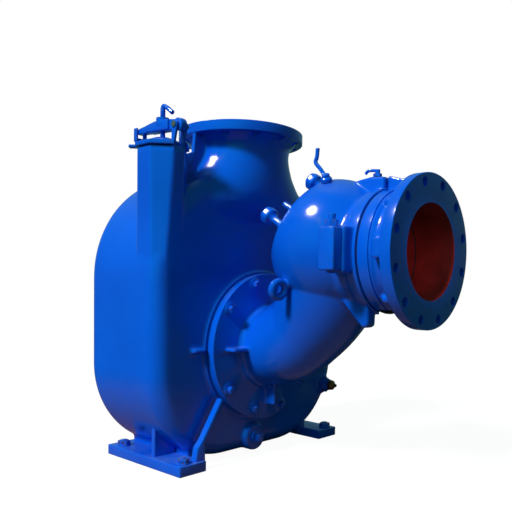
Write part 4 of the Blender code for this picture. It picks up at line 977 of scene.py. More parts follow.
# %% Suction head machining
bm = bmesh.new()
disc_shell(bm, COVER_R, COVER_THICK - 0.002, (COVER_BACK_X, 0, SHAFT_Z), X, 0.003, 160)
disc_shell(bm, HEAD_FLANGE_R, HEAD_FLANGE_THICK - 0.004,
    (HEAD_FACE_X - HEAD_FLANGE_THICK + 0.004, 0, SUCTION_Z), X, 0.003, 160)
block_shell(bm, BOSS_PIN - BOSS_HALF - Y * 0.0245, BOSS_PIN + BOSS_HALF + Y * 0.0605, 0.005)
machine(head, bm, "UNION")
bm = bmesh.new()
rod_shell(bm, (HEAD_FACE_X - 0.21, 0, SUCTION_Z), (HEAD_FACE_X + 0.02, 0, SUCTION_Z), BORE_R, 128)
machine(head, bm, "DIFFERENCE")
bm = bmesh.new()
rod_shell(bm, BULB + ACCESS_NORMAL * ACCESS_FACE, BULB + ACCESS_NORMAL * 0.30, 0.20, 96)
block_shell(bm, (HEAD_FACE_X - HEAD_FLANGE_THICK - 0.006, -0.052, SUCTION_Z - 0.30),
    (HEAD_FACE_X + 0.01, 0.2, SUCTION_Z - FLAT_DROP), 0)
block_shell(bm, (HEAD_FACE_X - HEAD_FLANGE_THICK - 0.006, -0.2, SUCTION_Z - 0.30),
    (HEAD_FACE_X + 0.01, -0.116, SUCTION_Z - FLAT_DROP), 0)
rod_shell(bm, BOSS_PIN - Z * 0.07, BOSS_PIN + Z * 0.07, HINGE_BORE_R, 32)
machine(head, bm, "DIFFERENCE")
shade(head, CAST_BLUE)
paint_bore(head, Vector((HEAD_FACE_X, 0, SUCTION_Z)), X, BORE_R, -0.23, 0.01)
place_piece(head, "suction_head")

# %% [markdown]
# ## Access cover and hand knobs
# The round cover on the slope of the bulb comes off without tools, for a blocked flap valve.
# Four knobs hold it: each is a stubby cast grip with lobes, so it starts as a turned profile
# whose rim is pulled in and out round the axis. A knob rides on its own body and can turn.

# %% Access cover
bm = bmesh.new()
cover_face = BULB + ACCESS_NORMAL * (ACCESS_FACE + 0.003)
access_profile = [(0, 0), (ACCESS_R, 0), (ACCESS_R, 0.018), (0.098, 0.018), (0.090, 0.014),
    (0.030, 0.014), (0.024, 0.018), (0, 0.018)]
spin_shell(bm, rounded(access_profile, 0.003), cover_face, ACCESS_NORMAL, 128)
access_cover = make_object("access_cover_plate", bm)
lug_way = (ACCESS_UP * 0.42 - Y * 0.91).normalized()
lug_foot = cover_face + lug_way * KNOB_CIRCLE_R
bm = bmesh.new()
lug_profile = [(0, 0.006), (0.0095, 0.006), (0.008, 0.024), (0.008, 0.063), (0, 0.063)]
spin_shell(bm, rounded(lug_profile, 0.003), lug_foot, ACCESS_NORMAL, 32)
machine(access_cover, bm, "UNION")
bm = bmesh.new()
knob_spots = []
for spoke in (ACCESS_UP, -Y, -ACCESS_UP, Y):
    spot = BULB + ACCESS_NORMAL * ACCESS_TOP + spoke * KNOB_CIRCLE_R
    knob_spots.append(spot)
    rod_shell(bm, spot - ACCESS_NORMAL * 0.04, spot + ACCESS_NORMAL * 0.02, 0.0084, 24)
machine(access_cover, bm, "DIFFERENCE")
shade(access_cover, PLATE_BLUE)
place_piece(access_cover, "access_cover")

# %% Hand knobs
KNOB_R = 0.026
KNOB_HEIGHT = 0.088
KNOB_LOBES = 6
KNOB_PULL = 0.03


def hand_knob(name, at, body, node):
    """Lobed grip on a stud, turned upright and then tipped to the slope of the cover."""
    bm = bmesh.new()
    grip = rounded([(0, GAP), (0.018, GAP), (0.018, 0.012), (0.011, 0.016), (0.0105, 0.046),
        (0.016, 0.052), (KNOB_R, 0.058), (KNOB_R, 0.080), (0.019, 0.086), (0.010, KNOB_HEIGHT),
        (0, KNOB_HEIGHT)], 0.004)
    spin_shell(bm, grip, (0, 0, 0), Z, 96)
    for vertex in bm.verts:
        reach = vertex.co.xy.length
        if vertex.co.z > 0.050 and reach > 0.012:
            angle = math.atan2(vertex.co.y, vertex.co.x)
            pull = 1 - KNOB_PULL * (1 - math.cos(angle * KNOB_LOBES)) * (reach / KNOB_R)
            vertex.co.x *= pull
            vertex.co.y *= pull
    disc_shell(bm, 0.008, 0.038, (0, 0, -0.038), Z, 0.001, 24)
    bmesh.ops.transform(bm, matrix=Matrix.Translation(at) @ turn(ACCESS_NORMAL), verts=bm.verts)
    knob = make_object(name, bm)
    shade(knob, SMALL_BLUE, 45)
    place_piece(knob, node, body=body)


for number, spot in enumerate(knob_spots, start=1):
    hand_knob("grip_%d" % number, spot, "knob_%d" % number, "hand_knob_%d" % number)

# %% [markdown]
# ## Flap hinge pin and lifting eye
# The flap valve hangs on an upright pin in the square boss, held by a nut on top. The lifting
# eye is a shouldered eye bolt, a ring on a short neck. The ring is a spun circle.

# %% Flap hinge pin
STUD_SHARE = 0.62
bm = bmesh.new()
boss_top = BOSS_PIN + BOSS_HALF.z * Z
rod_shell(bm, BOSS_PIN - Z * 0.050, boss_top + Z * 0.004, 0.0110, 32)
hexagon(bm, boss_top + Z * GAP, Z, 0.030, 0.016, stud=0.016, stud_share=STUD_SHARE, washer=0.0025,
    turned=0.3)
flap_pin = make_object("flap_pin_and_nut", bm)
shade(flap_pin, SMALL_BLUE)
place_piece(flap_pin, "flap_hinge_pin")

# %% Lifting eye
EYE_RING_R = 0.0215
EYE_BAR_R = 0.0108
bm = bmesh.new()
shank_profile = [(0, -0.016), (EYE_BAR_R, -0.016), (EYE_BAR_R, GAP), (0.0165, GAP), (0.0165, 0.005),
    (0.0105, 0.008), (0.0095, 0.018), (0, 0.018)]
spin_shell(bm, rounded(shank_profile, 0.0015), EYE_FOOT, EYE_WAY, 40)
ring_facing = X - EYE_WAY * EYE_WAY.x
ring_profile = [(EYE_RING_R + EYE_BAR_R * math.cos(a), EYE_BAR_R * math.sin(a))
    for a in [math.tau * k / 16 for k in range(16)]]
spin_shell(bm, ring_profile, EYE_FOOT + EYE_WAY * (0.012 + EYE_RING_R), ring_facing, 64)
eye = cast("lifting_eye_bolt", bm, voxel=0.0011, passes=3)
shade(eye, SMALL_BLUE, 60)
place_piece(eye, "lifting_eye")

# %% [markdown]
# ## Casing
# The casing is the biggest casting: a round-shouldered body, a discharge neck that widens
# like a bell into it, and an octagonal stack for the fill port, drawn in at its foot. Its
# front view is an outline of flats and arcs, extruded along the shaft and rounded at both
# rims. The bell is spun round and then squashed, because it is wider than it is deep. The
# fused skin has more faces than flat sides need, so a Decimate modifier thins it.

# %% Casing sizes
BODY_BOTTOM = 0.010
BODY_TOP = 0.900
BODY_TOP_R = 0.340
BODY_LOW_R = 0.285
BODY_EDGE_R = 0.050
SEAT_R = 0.240
NECK_R = 0.155
GUSSET_R = 0.200
GUSSET_FOOT_R = 0.262
STACK_HALF_X = 0.078
STACK_HALF_Y = 0.066
STACK_CHAMFER = 0.048
STACK_DRAW_IN = 0.0158
STACK_CORNER_OUT = Vector((0.0117, -0.0275))
STACK_FOOT_Z = 0.420
PORT_BORE_R = 0.050
PIN_RISE = 0.058
SEAM_R = 0.0045
SEAM_AZIMUTHS = (-58, 122)
THIN_TO = 0.42
FLANGE_UNDER = DISCHARGE_Z - FLANGE_THICK
NECK = Vector((NECK_X, 0, 0))
DRAIN = Vector((CASING_FRONT_X, -0.026, 0.055))
RELIEF = Vector((CASING_FRONT_X, CASING_HALF - 0.070, 0.186))
FOOT_FRONT_X = CASING_FRONT_X + 0.050
FOOT_BACK_X = FOOT_FRONT_X - 0.362
FOOT_THICK = 0.031
FOOT_INNER = 0.264
FOOT_OUTER = 0.362
STRUT_HALF = 0.007
STRUT_DEPTH = 0.023
STRUT_KNEE_Z = 0.085


def shoulder_z(y):
    """Height of the body's top at a distance from the middle."""
    across = max(abs(y) - (CASING_HALF - BODY_TOP_R), 0)
    return BODY_TOP - BODY_TOP_R + math.sqrt(BODY_TOP_R ** 2 - across ** 2)


def belly_z(y):
    """Height of the body's underside at a distance from the middle."""
    across = max(abs(y) - (CASING_HALF - BODY_LOW_R), 0)
    return BODY_BOTTOM + BODY_LOW_R - math.sqrt(BODY_LOW_R ** 2 - across ** 2)


def stack_outline(grow=0.0):
    """Octagon of the fill stack, grown by a lap on every side."""
    a, b = STACK_HALF_X + grow, STACK_HALF_Y + grow
    c = STACK_CHAMFER + grow * 0.586
    corners = [(a, -b + c), (a, b - c), (a - c, b), (-a + c, b), (-a, b - c), (-a, -b + c),
        (-a + c, -b), (a - c, -b)]
    return [(PORT.x + x, PORT.y + y) for x, y in corners]


body_height = shoulder_z(0) - belly_z(0)
print("the body is", round(body_height, 3), "m tall and", round(2 * CASING_HALF, 3), "m wide")

# %% Bell of the neck
# Half width across the pump, height, and half depth along it.
BELL = [(0.330, 0.690, 0.084), (0.330, 0.740, 0.102), (0.322, 0.775, 0.131), (0.305, 0.800, 0.146),
    (0.270, 0.830, 0.152), (0.226, 0.865, 0.154), (0.190, 0.900, 0.155), (0.168, 0.935, 0.156),
    (0.158, 0.962, 0.157), (0.160, 0.984, 0.159), (0.168, 0.998, 0.166),
    (0.180, FLANGE_UNDER - 0.001, 0.180)]


def bell_squash(z):
    """Share of its round depth that the bell keeps at a height."""
    for (r0, z0, d0), (r1, z1, d1) in zip(BELL, BELL[1:]):
        if z <= z1:
            t = min(max((z - z0) / (z1 - z0), 0), 1)
            return (d0 + (d1 - d0) * t) / (r0 + (r1 - r0) * t)
    return 1


print("the bell is narrowest at", 2 * min(r for r, z, depth in BELL), "m across")

# %% Casing body
bm = bmesh.new()
low_arc = arc((CASING_HALF - BODY_LOW_R, BODY_BOTTOM + BODY_LOW_R), BODY_LOW_R, -90, 0, 24)
high_arc = arc((CASING_HALF - BODY_TOP_R, BODY_TOP - BODY_TOP_R), BODY_TOP_R, 0, 90, 28)
right_side = low_arc + high_arc
left_side = [(-y, z) for y, z in reversed(right_side)]
body_depth = CASING_FRONT_X - CASING_BACK_X
outline_shell(bm, right_side + left_side, "x", CASING_BACK_X, body_depth, BODY_EDGE_R, 10)
bell_profile = [(0, 0.660), (BELL[0][0], 0.660)]
bell_profile += [(r, z) for r, z, depth in BELL]
bell_profile += [(0.180, FLANGE_UNDER + 0.012), (0, FLANGE_UNDER + 0.012)]
bell = spin_shell(bm, bell_profile, NECK, Z, 128)
for vertex in bell:
    vertex.co.x = NECK_X + (vertex.co.x - NECK_X) * bell_squash(vertex.co.z)
before_stack = set(bm.verts)
outline_shell(bm, stack_outline(), "z", STACK_FOOT_Z, PORT.z - 0.004 - STACK_FOOT_Z, 0.004)
for vertex in set(bm.verts) - before_stack:
    if vertex.co.z < STACK_FOOT_Z + 0.006 and vertex.co.x > PORT.x:
        far = vertex.co.x > PORT.x + 0.05
        vertex.co.x += -STACK_DRAW_IN if far else STACK_CORNER_OUT.x
        vertex.co.y += STACK_CORNER_OUT.y if far and vertex.co.y < PORT.y else 0
disc_shell(bm, SEAT_R - 0.001, 0.038, (CASING_FRONT_X - 0.030, 0, SHAFT_Z), X, 0.003)
disc_shell(bm, 0.226, 0.034, (CASING_BACK_X + 0.030, 0, SHAFT_Z), -X, 0.003)
for side in (-1, 1):
    rib_low, rib_high = sorted((side * (COVER_R + 0.006), side * (SEAT_R + 0.046)))
    block_shell(bm, (CASING_FRONT_X - 0.030, rib_low, SHAFT_Z - 0.007),
        (CASING_FRONT_X + 0.020, rib_high, SHAFT_Z + 0.007), 0.003)
    low, high = sorted((side * (FOOT_INNER + 0.003), side * (FOOT_INNER - 0.021)))
    block_shell(bm, (FOOT_BACK_X, low, 0.012),
        (CASING_FRONT_X - 0.032, high, belly_z(FOOT_INNER) + 0.04), 0.003)
    low, high = sorted((side * NECK_R * 0.7, side * (GUSSET_R - 0.003)))
    block_shell(bm, (NECK_X - 0.006, low, 0.84), (NECK_X + 0.006, high, DISCHARGE_Z - 0.016), 0.002)
disc_shell(bm, 0.044, 0.046, DRAIN - X * 0.030, X, 0.004, 64)
disc_shell(bm, 0.034, 0.042, RELIEF - X * 0.037, X, 0.003, 64)
for azimuth in SEAM_AZIMUTHS:
    heading = math.radians(azimuth)
    seam = NECK + Vector((math.cos(heading), math.sin(heading), 0)) * (NECK_R - 0.001)
    rod_shell(bm, seam + Z * 0.87, seam + Z * 0.985, SEAM_R, 16)
casing = cast("casing_casting", bm, voxel=0.0046, passes=6)
thin = casing.modifiers.new("thin", "DECIMATE")
thin.ratio = THIN_TO
settle(casing)
print("casing casting:", len(casing.data.polygons), "faces")

# %% Casing machining
bm = bmesh.new()
disc_shell(bm, FLANGE_R, FLANGE_THICK, (NECK_X, 0, FLANGE_UNDER), Z, 0.0022, 160)
disc_shell(bm, SEAT_R, 0.012, (SEAT_X - 0.012, 0, SHAFT_Z), X, 0.0015, 160)
disc_shell(bm, 0.229, 0.012, (CASING_BACK_X + 0.012, 0, SHAFT_Z), -X, 0.0015, 128)
disc_shell(bm, 0.040, 0.012, DRAIN + X * 0.006, X, 0.002, 64)
outline_shell(bm, stack_outline(-0.001), "z", PORT.z - 0.014, 0.014, 0.002)
machine(casing, bm, "UNION")
print("casing with machined faces:", len(casing.data.polygons), "faces")

# %% [markdown]
# ## Feet, gussets and strut
# Two flat feet carry the pump, each with an upright web under the belly. Gussets stiffen the
# neck below its flange, and a bent strut runs from the cover's seat down to the left foot.
# All of them are plain ribs with crisp edges, so they are extruded from outlines and joined
# to the finished skin.

# %% Feet, gussets and strut
bm = bmesh.new()
for side in (-1, 1):
    low, high = sorted((side * FOOT_INNER, side * FOOT_OUTER))
    block_shell(bm, (FOOT_BACK_X, low, 0), (FOOT_FRONT_X, high, FOOT_THICK), 0.003)
machine(casing, bm, "UNION")
bm = bmesh.new()
web_x = FOOT_BACK_X + (FOOT_FRONT_X - FOOT_BACK_X) * 0.6
for side in (-1, 1):
    low, high = sorted((side * (FOOT_INNER + 0.006), side * (FOOT_OUTER - 0.014)))
    block_shell(bm, (web_x - 0.008, low, 0.016),
        (web_x + 0.008, high, belly_z(FOOT_OUTER - 0.014) + 0.026), 0.003)
    foot_z = shoulder_z(GUSSET_FOOT_R)
    gusset_outline = [(side * NECK_R * 0.93, foot_z - 0.03),
        (side * NECK_R * 0.93, FLANGE_UNDER + 0.012), (side * GUSSET_R, FLANGE_UNDER + 0.012),
        (side * (GUSSET_R + 0.006), foot_z + 0.108), (side * (GUSSET_FOOT_R - 0.010), foot_z + 0.090),
        (side * GUSSET_FOOT_R, foot_z + 0.060), (side * GUSSET_FOOT_R, foot_z - 0.03)]
    outline_shell(bm, gusset_outline, "x", NECK_X - 0.007, 0.014, 0.003)
knee = Vector((-(FOOT_INNER + 0.002), STRUT_KNEE_Z))
strut_top = Vector((-SEAT_R * 0.80, SHAFT_Z - SEAT_R * 0.62))
slope = (knee - strut_top).normalized()
wide = Vector((slope.y, -slope.x)) * STRUT_HALF
strut_outline = [tuple(strut_top - wide), tuple(knee - wide), (knee.x + 0.008, 0.016),
    (knee.x - 0.034, 0.016), (knee.x - 0.024, 0.070), tuple(knee + wide), tuple(strut_top + wide)]
outline_shell(bm, strut_outline, "x", CASING_FRONT_X + 0.017, STRUT_DEPTH, 0.004)
for ear_side in (-1, 1):
    ear_y = PORT.y + ear_side * 0.0165
    ear_pin = (PORT.x + STACK_HALF_X, PORT.z + PIN_RISE)
    ear = arc(ear_pin, 0.011, 0, 180, 16)
    ear = [(ear_pin[0] - 0.002, PORT.z - 0.020), (ear_pin[0] - 0.001, PORT.z + 0.010)] + ear
    ear += [(ear_pin[0] - 0.013, PORT.z + 0.010), (ear_pin[0] - 0.013, PORT.z - 0.020)]
    outline_shell(bm, ear, "y", ear_y - 0.004, 0.008, 0.0012)
machine(casing, bm, "UNION")
print("casing with feet and ribs:", len(casing.data.polygons), "faces")

# %% Casing bores
machine(casing, flange_holes(Vector((NECK_X, 0, FLANGE_UNDER)), Z, FLANGE_THICK), "DIFFERENCE")
bm = bmesh.new()
neck_bore = [(0, 0.700), (0.080, 0.700), (BORE_R, 0.810), (BORE_R, DISCHARGE_Z + 0.02),
    (0, DISCHARGE_Z + 0.02)]
spin_shell(bm, neck_bore, (NECK_X, 0, 0), Z, 128)
rod_shell(bm, (PORT.x, PORT.y, PORT.z - 0.23), (PORT.x, PORT.y, PORT.z + 0.02), PORT_BORE_R, 64)
machine(casing, bm, "DIFFERENCE")
shade(casing, CAST_BLUE)
paint_bore(casing, Vector((NECK_X, 0, DISCHARGE_Z)), Z, BORE_R, -0.34, -0.004)
paint_bore(casing, PORT, Z, PORT_BORE_R, -0.24, -0.004)
place_piece(casing, "casing")

# %% [markdown]
# ## Fill cover, clamp bar and screw
# Water for the first priming goes in under an octagonal cover. A bar over it swings on a pin
# in two ears, and a screw through the bar presses the cover down. The bar is an outline with
# a round knuckle, and the screw is a turned stem whose thread is a stack of fine rings.

# %% Fill cover
COVER_LOW = PORT.z + 0.003
COVER_HIGH = COVER_LOW + 0.012
PIN = Vector((PORT.x + STACK_HALF_X, PORT.y, PORT.z + PIN_RISE))
bm = bmesh.new()
outline_shell(bm, stack_outline(0.006), "z", COVER_LOW, 0.012, 0.002)
fill_cover = make_object("fill_cover_plate", bm)
bm = bmesh.new()
ear_corner = Vector((PORT.x - STACK_HALF_X + STACK_CHAMFER / 2,
    PORT.y - STACK_HALF_Y + STACK_CHAMFER / 2))
ear_out = Vector((-1, -1)).normalized()
ear_side = Vector((1, -1)).normalized() * 0.015
ear_tip = ear_corner + ear_out * 0.029
ear_root = ear_corner - ear_out * 0.020
cover_ear = [tuple(ear_root - ear_side), tuple(ear_tip - ear_side * 0.75),
    tuple(ear_tip + ear_out * 0.001), tuple(ear_tip + ear_side * 0.75), tuple(ear_root + ear_side)]
outline_shell(bm, cover_ear, "z", COVER_LOW + 0.002, 0.008, 0.003)
cover_dome = [(0.0165, 0), (0.062, 0), (0.054, 0.007), (0.034, 0.015), (0.024, 0.019), (0.0165, 0.019)]
spin_shell(bm, rounded(cover_dome, 0.004), (PORT.x, PORT.y, COVER_HIGH - 0.0015), Z, 64)
machine(fill_cover, bm, "UNION")
bm = bmesh.new()
block_shell(bm, (PIN.x - 0.016, PORT.y - 0.0235, COVER_LOW - 0.01),
    (PIN.x + 0.05, PORT.y + 0.0235, COVER_HIGH + 0.02), 0)
machine(fill_cover, bm, "DIFFERENCE")
shade(fill_cover, PLATE_BLUE)
place_piece(fill_cover, "fill_cover", body="fill_clamp")

# %% Clamp bar
PIN_HOLE_R = 0.0063
SCREW_HOLE_R = 0.0078
BAR_Z = PIN.z + 0.011
BAR_TAIL_X = PORT.x - 0.112
bm = bmesh.new()
bar = [(BAR_TAIL_X, BAR_Z - 0.012), (PIN.x - 0.022, BAR_Z - 0.021)]
bar += arc((PIN.x, PIN.z), 0.020, -60, 120, 24)
bar += [(PORT.x + 0.026, BAR_Z + 0.013), (PORT.x - 0.026, BAR_Z + 0.013), (BAR_TAIL_X, BAR_Z + 0.003)]
outline_shell(bm, bar, "y", PORT.y - 0.011, 0.022, 0.003)
clamp_bar = make_object("clamp_bar_casting", bm)
bm = bmesh.new()
disc_shell(bm, 0.019, 0.022, (PORT.x, PORT.y, BAR_Z - 0.001), Z, 0.002, 48)
machine(clamp_bar, bm, "UNION")
bm = bmesh.new()
bar_block = [(PORT.x - 0.062, BAR_Z - 0.015), (PORT.x + 0.044, BAR_Z - 0.020),
    (PORT.x + 0.044, BAR_Z + 0.011), (PORT.x - 0.020, BAR_Z + 0.012), (PORT.x - 0.062, BAR_Z + 0.006)]
outline_shell(bm, bar_block, "y", PORT.y - 0.0175, 0.035, 0.004)
machine(clamp_bar, bm, "UNION")
bm = bmesh.new()
rod_shell(bm, (PIN.x, PIN.y - 0.02, PIN.z), (PIN.x, PIN.y + 0.02, PIN.z), PIN_HOLE_R, 32)
rod_shell(bm, (PORT.x, PORT.y, BAR_Z - 0.04), (PORT.x, PORT.y, BAR_Z + 0.04), SCREW_HOLE_R, 32)
machine(clamp_bar, bm, "DIFFERENCE")
shade(clamp_bar, SMALL_BLUE)
place_piece(clamp_bar, "clamp_bar", body="fill_clamp")

# %% Clamp screw
SCREW_FOOT = COVER_HIGH + GAP
SCREW_TOP = PORT.z + 0.129
SCREW_PAD_R = 0.0150
THREAD_R = 0.0074
THREAD_PITCH = 0.002
stem = [(0, SCREW_FOOT), (0.0145, SCREW_FOOT), (SCREW_PAD_R, SCREW_FOOT + 0.002),
    (SCREW_PAD_R, SCREW_FOOT + 0.007), (0.0060, SCREW_FOOT + 0.011)]
thread_z = SCREW_FOOT + 0.013
while thread_z < SCREW_TOP - 0.020:
    crest = thread_z + THREAD_PITCH / 2
    stem += [(0.0066, thread_z), (THREAD_R, crest - THREAD_PITCH * 0.1),
        (THREAD_R, crest + THREAD_PITCH * 0.1)]
    thread_z += THREAD_PITCH
stem += [(0.0072, SCREW_TOP - 0.018), (0.0072, SCREW_TOP - 0.012), (0, SCREW_TOP - 0.012)]
bm = bmesh.new()
spin_shell(bm, stem, (PORT.x, PORT.y, 0), Z, 32)
handle_root = Vector((PORT.x, PORT.y, SCREW_TOP - 0.006))
handle_route = [handle_root - Z * 0.012, handle_root - Z * 0.005, handle_root + Vector((0.005, 0, 0)),
    handle_root + Vector((0.022, 0, -0.008)), handle_root + Vector((0.044, 0, -0.024))]
bent_bar(bm, handle_route, 0.0064)
screw = make_object("clamp_screw_and_handle", bm)
shade(screw, SMALL_BLUE)
place_piece(screw, "clamp_screw", body="screw")

# %% [markdown]
# ## Latch fork
# The tail of the bar drops between the two prongs of a fork, which an arm holds off the
# stack. The fork is five blocks that touch, so they are joined one after the other.

# %% Latch fork
FORK_HALF = 0.0185
FORK_INNER = 0.0125
FORK_STEM_HALF = 0.006
FORK_FRONT = PORT.x - STACK_HALF_X - 0.022
FORK_BACK = FORK_FRONT - 0.016
FORK_LOW = PORT.z - 0.043
FORK_KNEE = BAR_Z - 0.023
FORK_TOP = BAR_Z + 0.006


def fork_block(x_high, y_low, y_high, z_low, z_high, edge=0.002):
    """Bmesh of one block of the fork, from its back to some x."""
    bm = bmesh.new()
    block_shell(bm, (FORK_BACK, PORT.y + y_low, z_low), (x_high, PORT.y + y_high, z_high), edge)
    return bm


arm = fork_block(PORT.x - STACK_HALF_X - GAP, -FORK_STEM_HALF, FORK_STEM_HALF, FORK_LOW,
    FORK_LOW + 0.026, 0.0025)
fork = make_object("latch_fork", arm)
for y_low, y_high, z_low, z_high in ((-FORK_STEM_HALF, FORK_STEM_HALF, FORK_LOW, FORK_KNEE),
        (-FORK_HALF, FORK_HALF, FORK_KNEE - 0.010, FORK_KNEE),
        (-FORK_HALF, -FORK_INNER, FORK_KNEE - 0.010, FORK_TOP),
        (FORK_INNER, FORK_HALF, FORK_KNEE - 0.010, FORK_TOP)):
    machine(fork, fork_block(FORK_FRONT, y_low, y_high, z_low, z_high), "UNION")
shade(fork, SMALL_BLUE)
place_piece(fork, "latch_yoke")

# %% [markdown]
# ## Cocks, plugs and the relief valve
# Small fittings tell the eye how big the pump is. The drain plug has a square head for a
# spanner, the relief valve a hexagon and a brass cap, the air cock a bent lever, and the
# petcock a curved spout. All but the cap have been painted over with the pump.

# %% Air cock
cock_way = Vector((0.10, -0.42, 0.90)).normalized()
cock_foot = BULB + cock_way * (BULB_R + GAP)
lever_root = cock_foot + cock_way * 0.016
lever_knee = lever_root + Vector((-0.035, -0.002, 0.041))
lever_tip = lever_knee + Vector((0.006, 0, 0.039))
bm = bmesh.new()
cock_profile = [(0, 0), (0.016, 0), (0.016, 0.011), (0.011, 0.014), (0.0112, 0.022), (0.007, 0.024),
    (0, 0.024)]
spin_shell(bm, rounded(cock_profile, 0.0015), cock_foot, cock_way, 32)
lever_route = [lever_root - cock_way * 0.004, lever_root + (lever_knee - lever_root) * 0.5, lever_knee,
    lever_knee + Vector((0.004, 0, 0.016)), lever_tip]
bent_bar(bm, lever_route, 0.0058)
air_cock = cast("air_cock_lever", bm, voxel=0.0011, passes=2)
shade(air_cock, SMALL_BLUE, 60)
place_piece(air_cock, "air_cock")

# %% Petcock
tap_foot = Vector((HEAD_FACE_X - 0.038, -0.020, SUCTION_Z + TOP_RISE + 0.003 + GAP))
bm = bmesh.new()
hexagon(bm, tap_foot, Z, 0.021, 0.008)
disc_shell(bm, 0.0070, 0.012, tap_foot + Z * 0.007, Z, 0.001, 32)
spout_route = [tap_foot + Vector((0.006, 0, 0.014)), tap_foot + Vector((-0.010, -0.003, 0.0165)),
    tap_foot + Vector((-0.026, -0.006, 0.0165)), tap_foot + Vector((-0.034, -0.0075, 0.009))]
bent_bar(bm, spout_route, 0.0043)
petcock = make_object("petcock_with_spout", bm)
shade(petcock, SMALL_BLUE, 45)
place_piece(petcock, "petcock")

# %% Drain plug
bm = bmesh.new()
drain_face = DRAIN + X * 0.018
plug_profile = [(0, -0.019), (0.0154, -0.019), (0.0154, GAP), (0.022, GAP), (0.022, 0.008), (0, 0.008)]
spin_shell(bm, rounded(plug_profile, 0.0015), drain_face, X, 48)
block_shell(bm, drain_face + Vector((0.005, -0.011, -0.011)),
    drain_face + Vector((0.024, 0.011, 0.011)), 0.002)
drain = make_object("drain_plug_square_head", bm)
shade(drain, SMALL_BLUE)
place_piece(drain, "drain_plug")

# %% Relief valve
relief_face = RELIEF + X * 0.006
bm = bmesh.new()
disc_shell(bm, 0.0154, 0.017, relief_face - X * 0.016, X, 0.001, 40)
hexagon(bm, relief_face + X * GAP, X, 0.048, 0.014)
relief_profile = [(0, 0.012), (0.0205, 0.012), (0.0196, 0.020), (0.0196, 0.028), (0, 0.028)]
spin_shell(bm, rounded(relief_profile, 0.0015), relief_face, X, 48)
relief = make_object("relief_valve_body", bm)
shade(relief, SMALL_BLUE)
place_piece(relief, "relief_valve")
bm = bmesh.new()
cap_profile = [(0, 0.0283), (0.0174, 0.0283), (0.0174, 0.040), (0.0095, 0.0445), (0.0062, 0.047),
    (0.0062, 0.0555), (0.004, 0.0563), (0, 0.0563)]
spin_shell(bm, rounded(cap_profile, 0.0012), relief_face, X, 40)
cap = make_object("relief_valve_cap", bm)
shade(cap, RED_BRASS)
place_piece(cap, "relief_cap", slot="red_brass")

# %% [markdown]
# ## Back cover and bearing frame
# Behind the casing the shaft runs in an oil-filled bearing frame: a lathe-turned barrel with a
# flange, four ribs that stiffen it, a cap on the end, a filler plug and a sight glass for oil.

# %% Back cover
BACK_R = 0.225
BACK_FACE_X = back_low.x - GAP
FRAME_FLANGE_R = 0.150
FRAME_R = 0.088
FRAME_RIBS = 4
CAP_R = 0.080
SHAFT_BORE_R = 0.0285
OIL_X = frame_high.x - (frame_high.x - frame_low.x) * 0.66
SHAFT_AXIS = Vector((0, 0, SHAFT_Z))
bm = bmesh.new()
back_profile = [(SHAFT_BORE_R, 0.0005), (BACK_R, 0.0005), (BACK_R, 0.026), (0.200, 0.0295),
    (SHAFT_BORE_R, 0.0295)]
spin_shell(bm, rounded(back_profile, 0.004), SHAFT_AXIS + X * BACK_FACE_X, -X, 160)
back_cover = make_object("back_cover_plate", bm)
shade(back_cover, PLATE_BLUE)
place_piece(back_cover, "back_cover")

# %% Bearing frame
bm = bmesh.new()
frame_front = SHAFT_AXIS + X * frame_high.x
frame_profile = [(0.020, 0.002), (FRAME_FLANGE_R - 0.002, 0.002), (FRAME_FLANGE_R - 0.002, 0.021),
    (FRAME_R + 0.020, 0.034), (FRAME_R, 0.062), (FRAME_R, 0.218), (FRAME_R + 0.006, 0.222),
    (FRAME_R + 0.006, 0.237), (0.020, 0.237)]
spin_shell(bm, rounded(frame_profile, 0.004), frame_front, -X, 128)
for k in range(FRAME_RIBS):
    rib_faces = [(FRAME_R * 0.9, 0.006), (FRAME_FLANGE_R - 0.013, 0.011),
        (FRAME_FLANGE_R - 0.013, 0.026), (FRAME_R + 0.003, 0.149), (FRAME_R * 0.9, 0.149)]
    before_rib = set(bm.verts)
    outline_shell(bm, [(-h, r) for r, h in rib_faces], "z", -0.007, 0.014, 0.003)
    rib_verts = [v for v in bm.verts if v not in before_rib]
    rib_turn = Matrix.Rotation(math.tau * (k + 0.5) / FRAME_RIBS, 4, "X")
    bmesh.ops.transform(bm, matrix=Matrix.Translation(frame_front) @ rib_turn, verts=rib_verts)
disc_shell(bm, 0.022, 0.014, Vector((OIL_X, 0, SHAFT_Z + FRAME_R - 0.016)), Z, 0.003, 40)
bearing = cast("bearing_frame_casting", bm, voxel=0.0036, passes=5)
bm = bmesh.new()
disc_shell(bm, FRAME_FLANGE_R, 0.019, frame_front, -X, 0.002, 128)
machine(bearing, bm, "UNION")
bm = bmesh.new()
rod_shell(bm, frame_front + X * 0.01, frame_front - X * 0.25, SHAFT_BORE_R, 48)
block_shell(bm, (OIL_X - 0.028, -0.12, SHAFT_Z - 0.028),
    (OIL_X + 0.028, -FRAME_R + 0.005, SHAFT_Z + 0.028), 0)
machine(bearing, bm, "DIFFERENCE")
shade(bearing, CAST_BLUE)
place_piece(bearing, "bearing_frame")

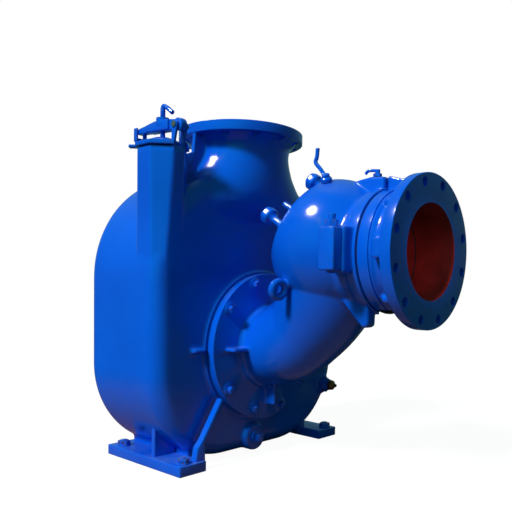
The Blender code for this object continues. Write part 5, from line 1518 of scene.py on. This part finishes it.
# %% Bearing cap
bm = bmesh.new()
bearing_cap_profile = [(SHAFT_BORE_R, 0), (CAP_R, 0), (CAP_R, 0.012), (CAP_R - 0.008, 0.017),
    (0.046, 0.018), (0.042, 0.012), (SHAFT_BORE_R, 0.012)]
spin_shell(bm, rounded(bearing_cap_profile, 0.002), SHAFT_AXIS + X * cap_high.x, -X, 96)
bearing_cap = make_object("bearing_cap_plate", bm)
shade(bearing_cap, PLATE_BLUE)
place_piece(bearing_cap, "bearing_cap")

# %% [markdown]
# ## Bolts and nuts in place
# Painted bolts are the small bright dots of the picture. Rings of them are set out with the
# same circle helper as the flange holes, and each ring is one joined mesh.


# %% Bolts on the pump
BOLT_TURN = 0.4


def ring_of_bolts(name, centre, along, circle, count, across, height, start=0.5, skip=()):
    """Bolt heads round a circle, each turned a little further, with some places left out."""
    bm = bmesh.new()
    for number, point in enumerate(on_circle(centre, along, circle, count, start)):
        if number not in skip:
            hexagon(bm, point, along, across, height, washer=0.002, turned=BOLT_TURN * number)
    bolts = make_object(name, bm)
    shade(bolts, SMALL_BLUE, 30)
    place_piece(bolts)


cover_bolt_face = SHAFT_FACE + X * 0.0022
ring_of_bolts("cover_plate_bolts", cover_bolt_face, X, COVER_BOLT_R, COVER_BOLTS, 0.021, 0.012,
    start=0.0, skip=(0,))
back_bolt_face = SHAFT_AXIS + X * (BACK_FACE_X - 0.0295)
ring_of_bolts("back_cover_bolts", back_bolt_face, -X, 0.198, 8, 0.024, 0.014)
frame_bolt_face = SHAFT_AXIS + X * (frame_high.x - 0.021)
ring_of_bolts("bearing_frame_bolts", frame_bolt_face, -X, 0.132, 8, 0.019, 0.012, start=0.0)
cap_bolt_face = SHAFT_AXIS + X * (cap_high.x - 0.0165)
ring_of_bolts("bearing_cap_bolts", cap_bolt_face, -X, 0.062, 6, 0.013, 0.008)

# %% Anchor bolts
ANCHOR_Y = FOOT_OUTER - 0.031
ANCHOR_X = (FOOT_BACK_X + 0.043, FOOT_FRONT_X - 0.028)
bm = bmesh.new()
for side in (-1, 1):
    for foot_x in ANCHOR_X:
        hexagon(bm, (foot_x, side * ANCHOR_Y, FOOT_THICK), Z, 0.034, 0.011, stud=0.004,
            stud_share=STUD_SHARE, washer=0.004, turned=0.35)
anchors = make_object("anchor_nuts", bm)
NUT_BLUE = blue_enamel("enamel_on_anchor_nuts", wear=1.0, dust=0.5, depth=0.0004)
shade(anchors, NUT_BLUE, 30)
place_piece(anchors)
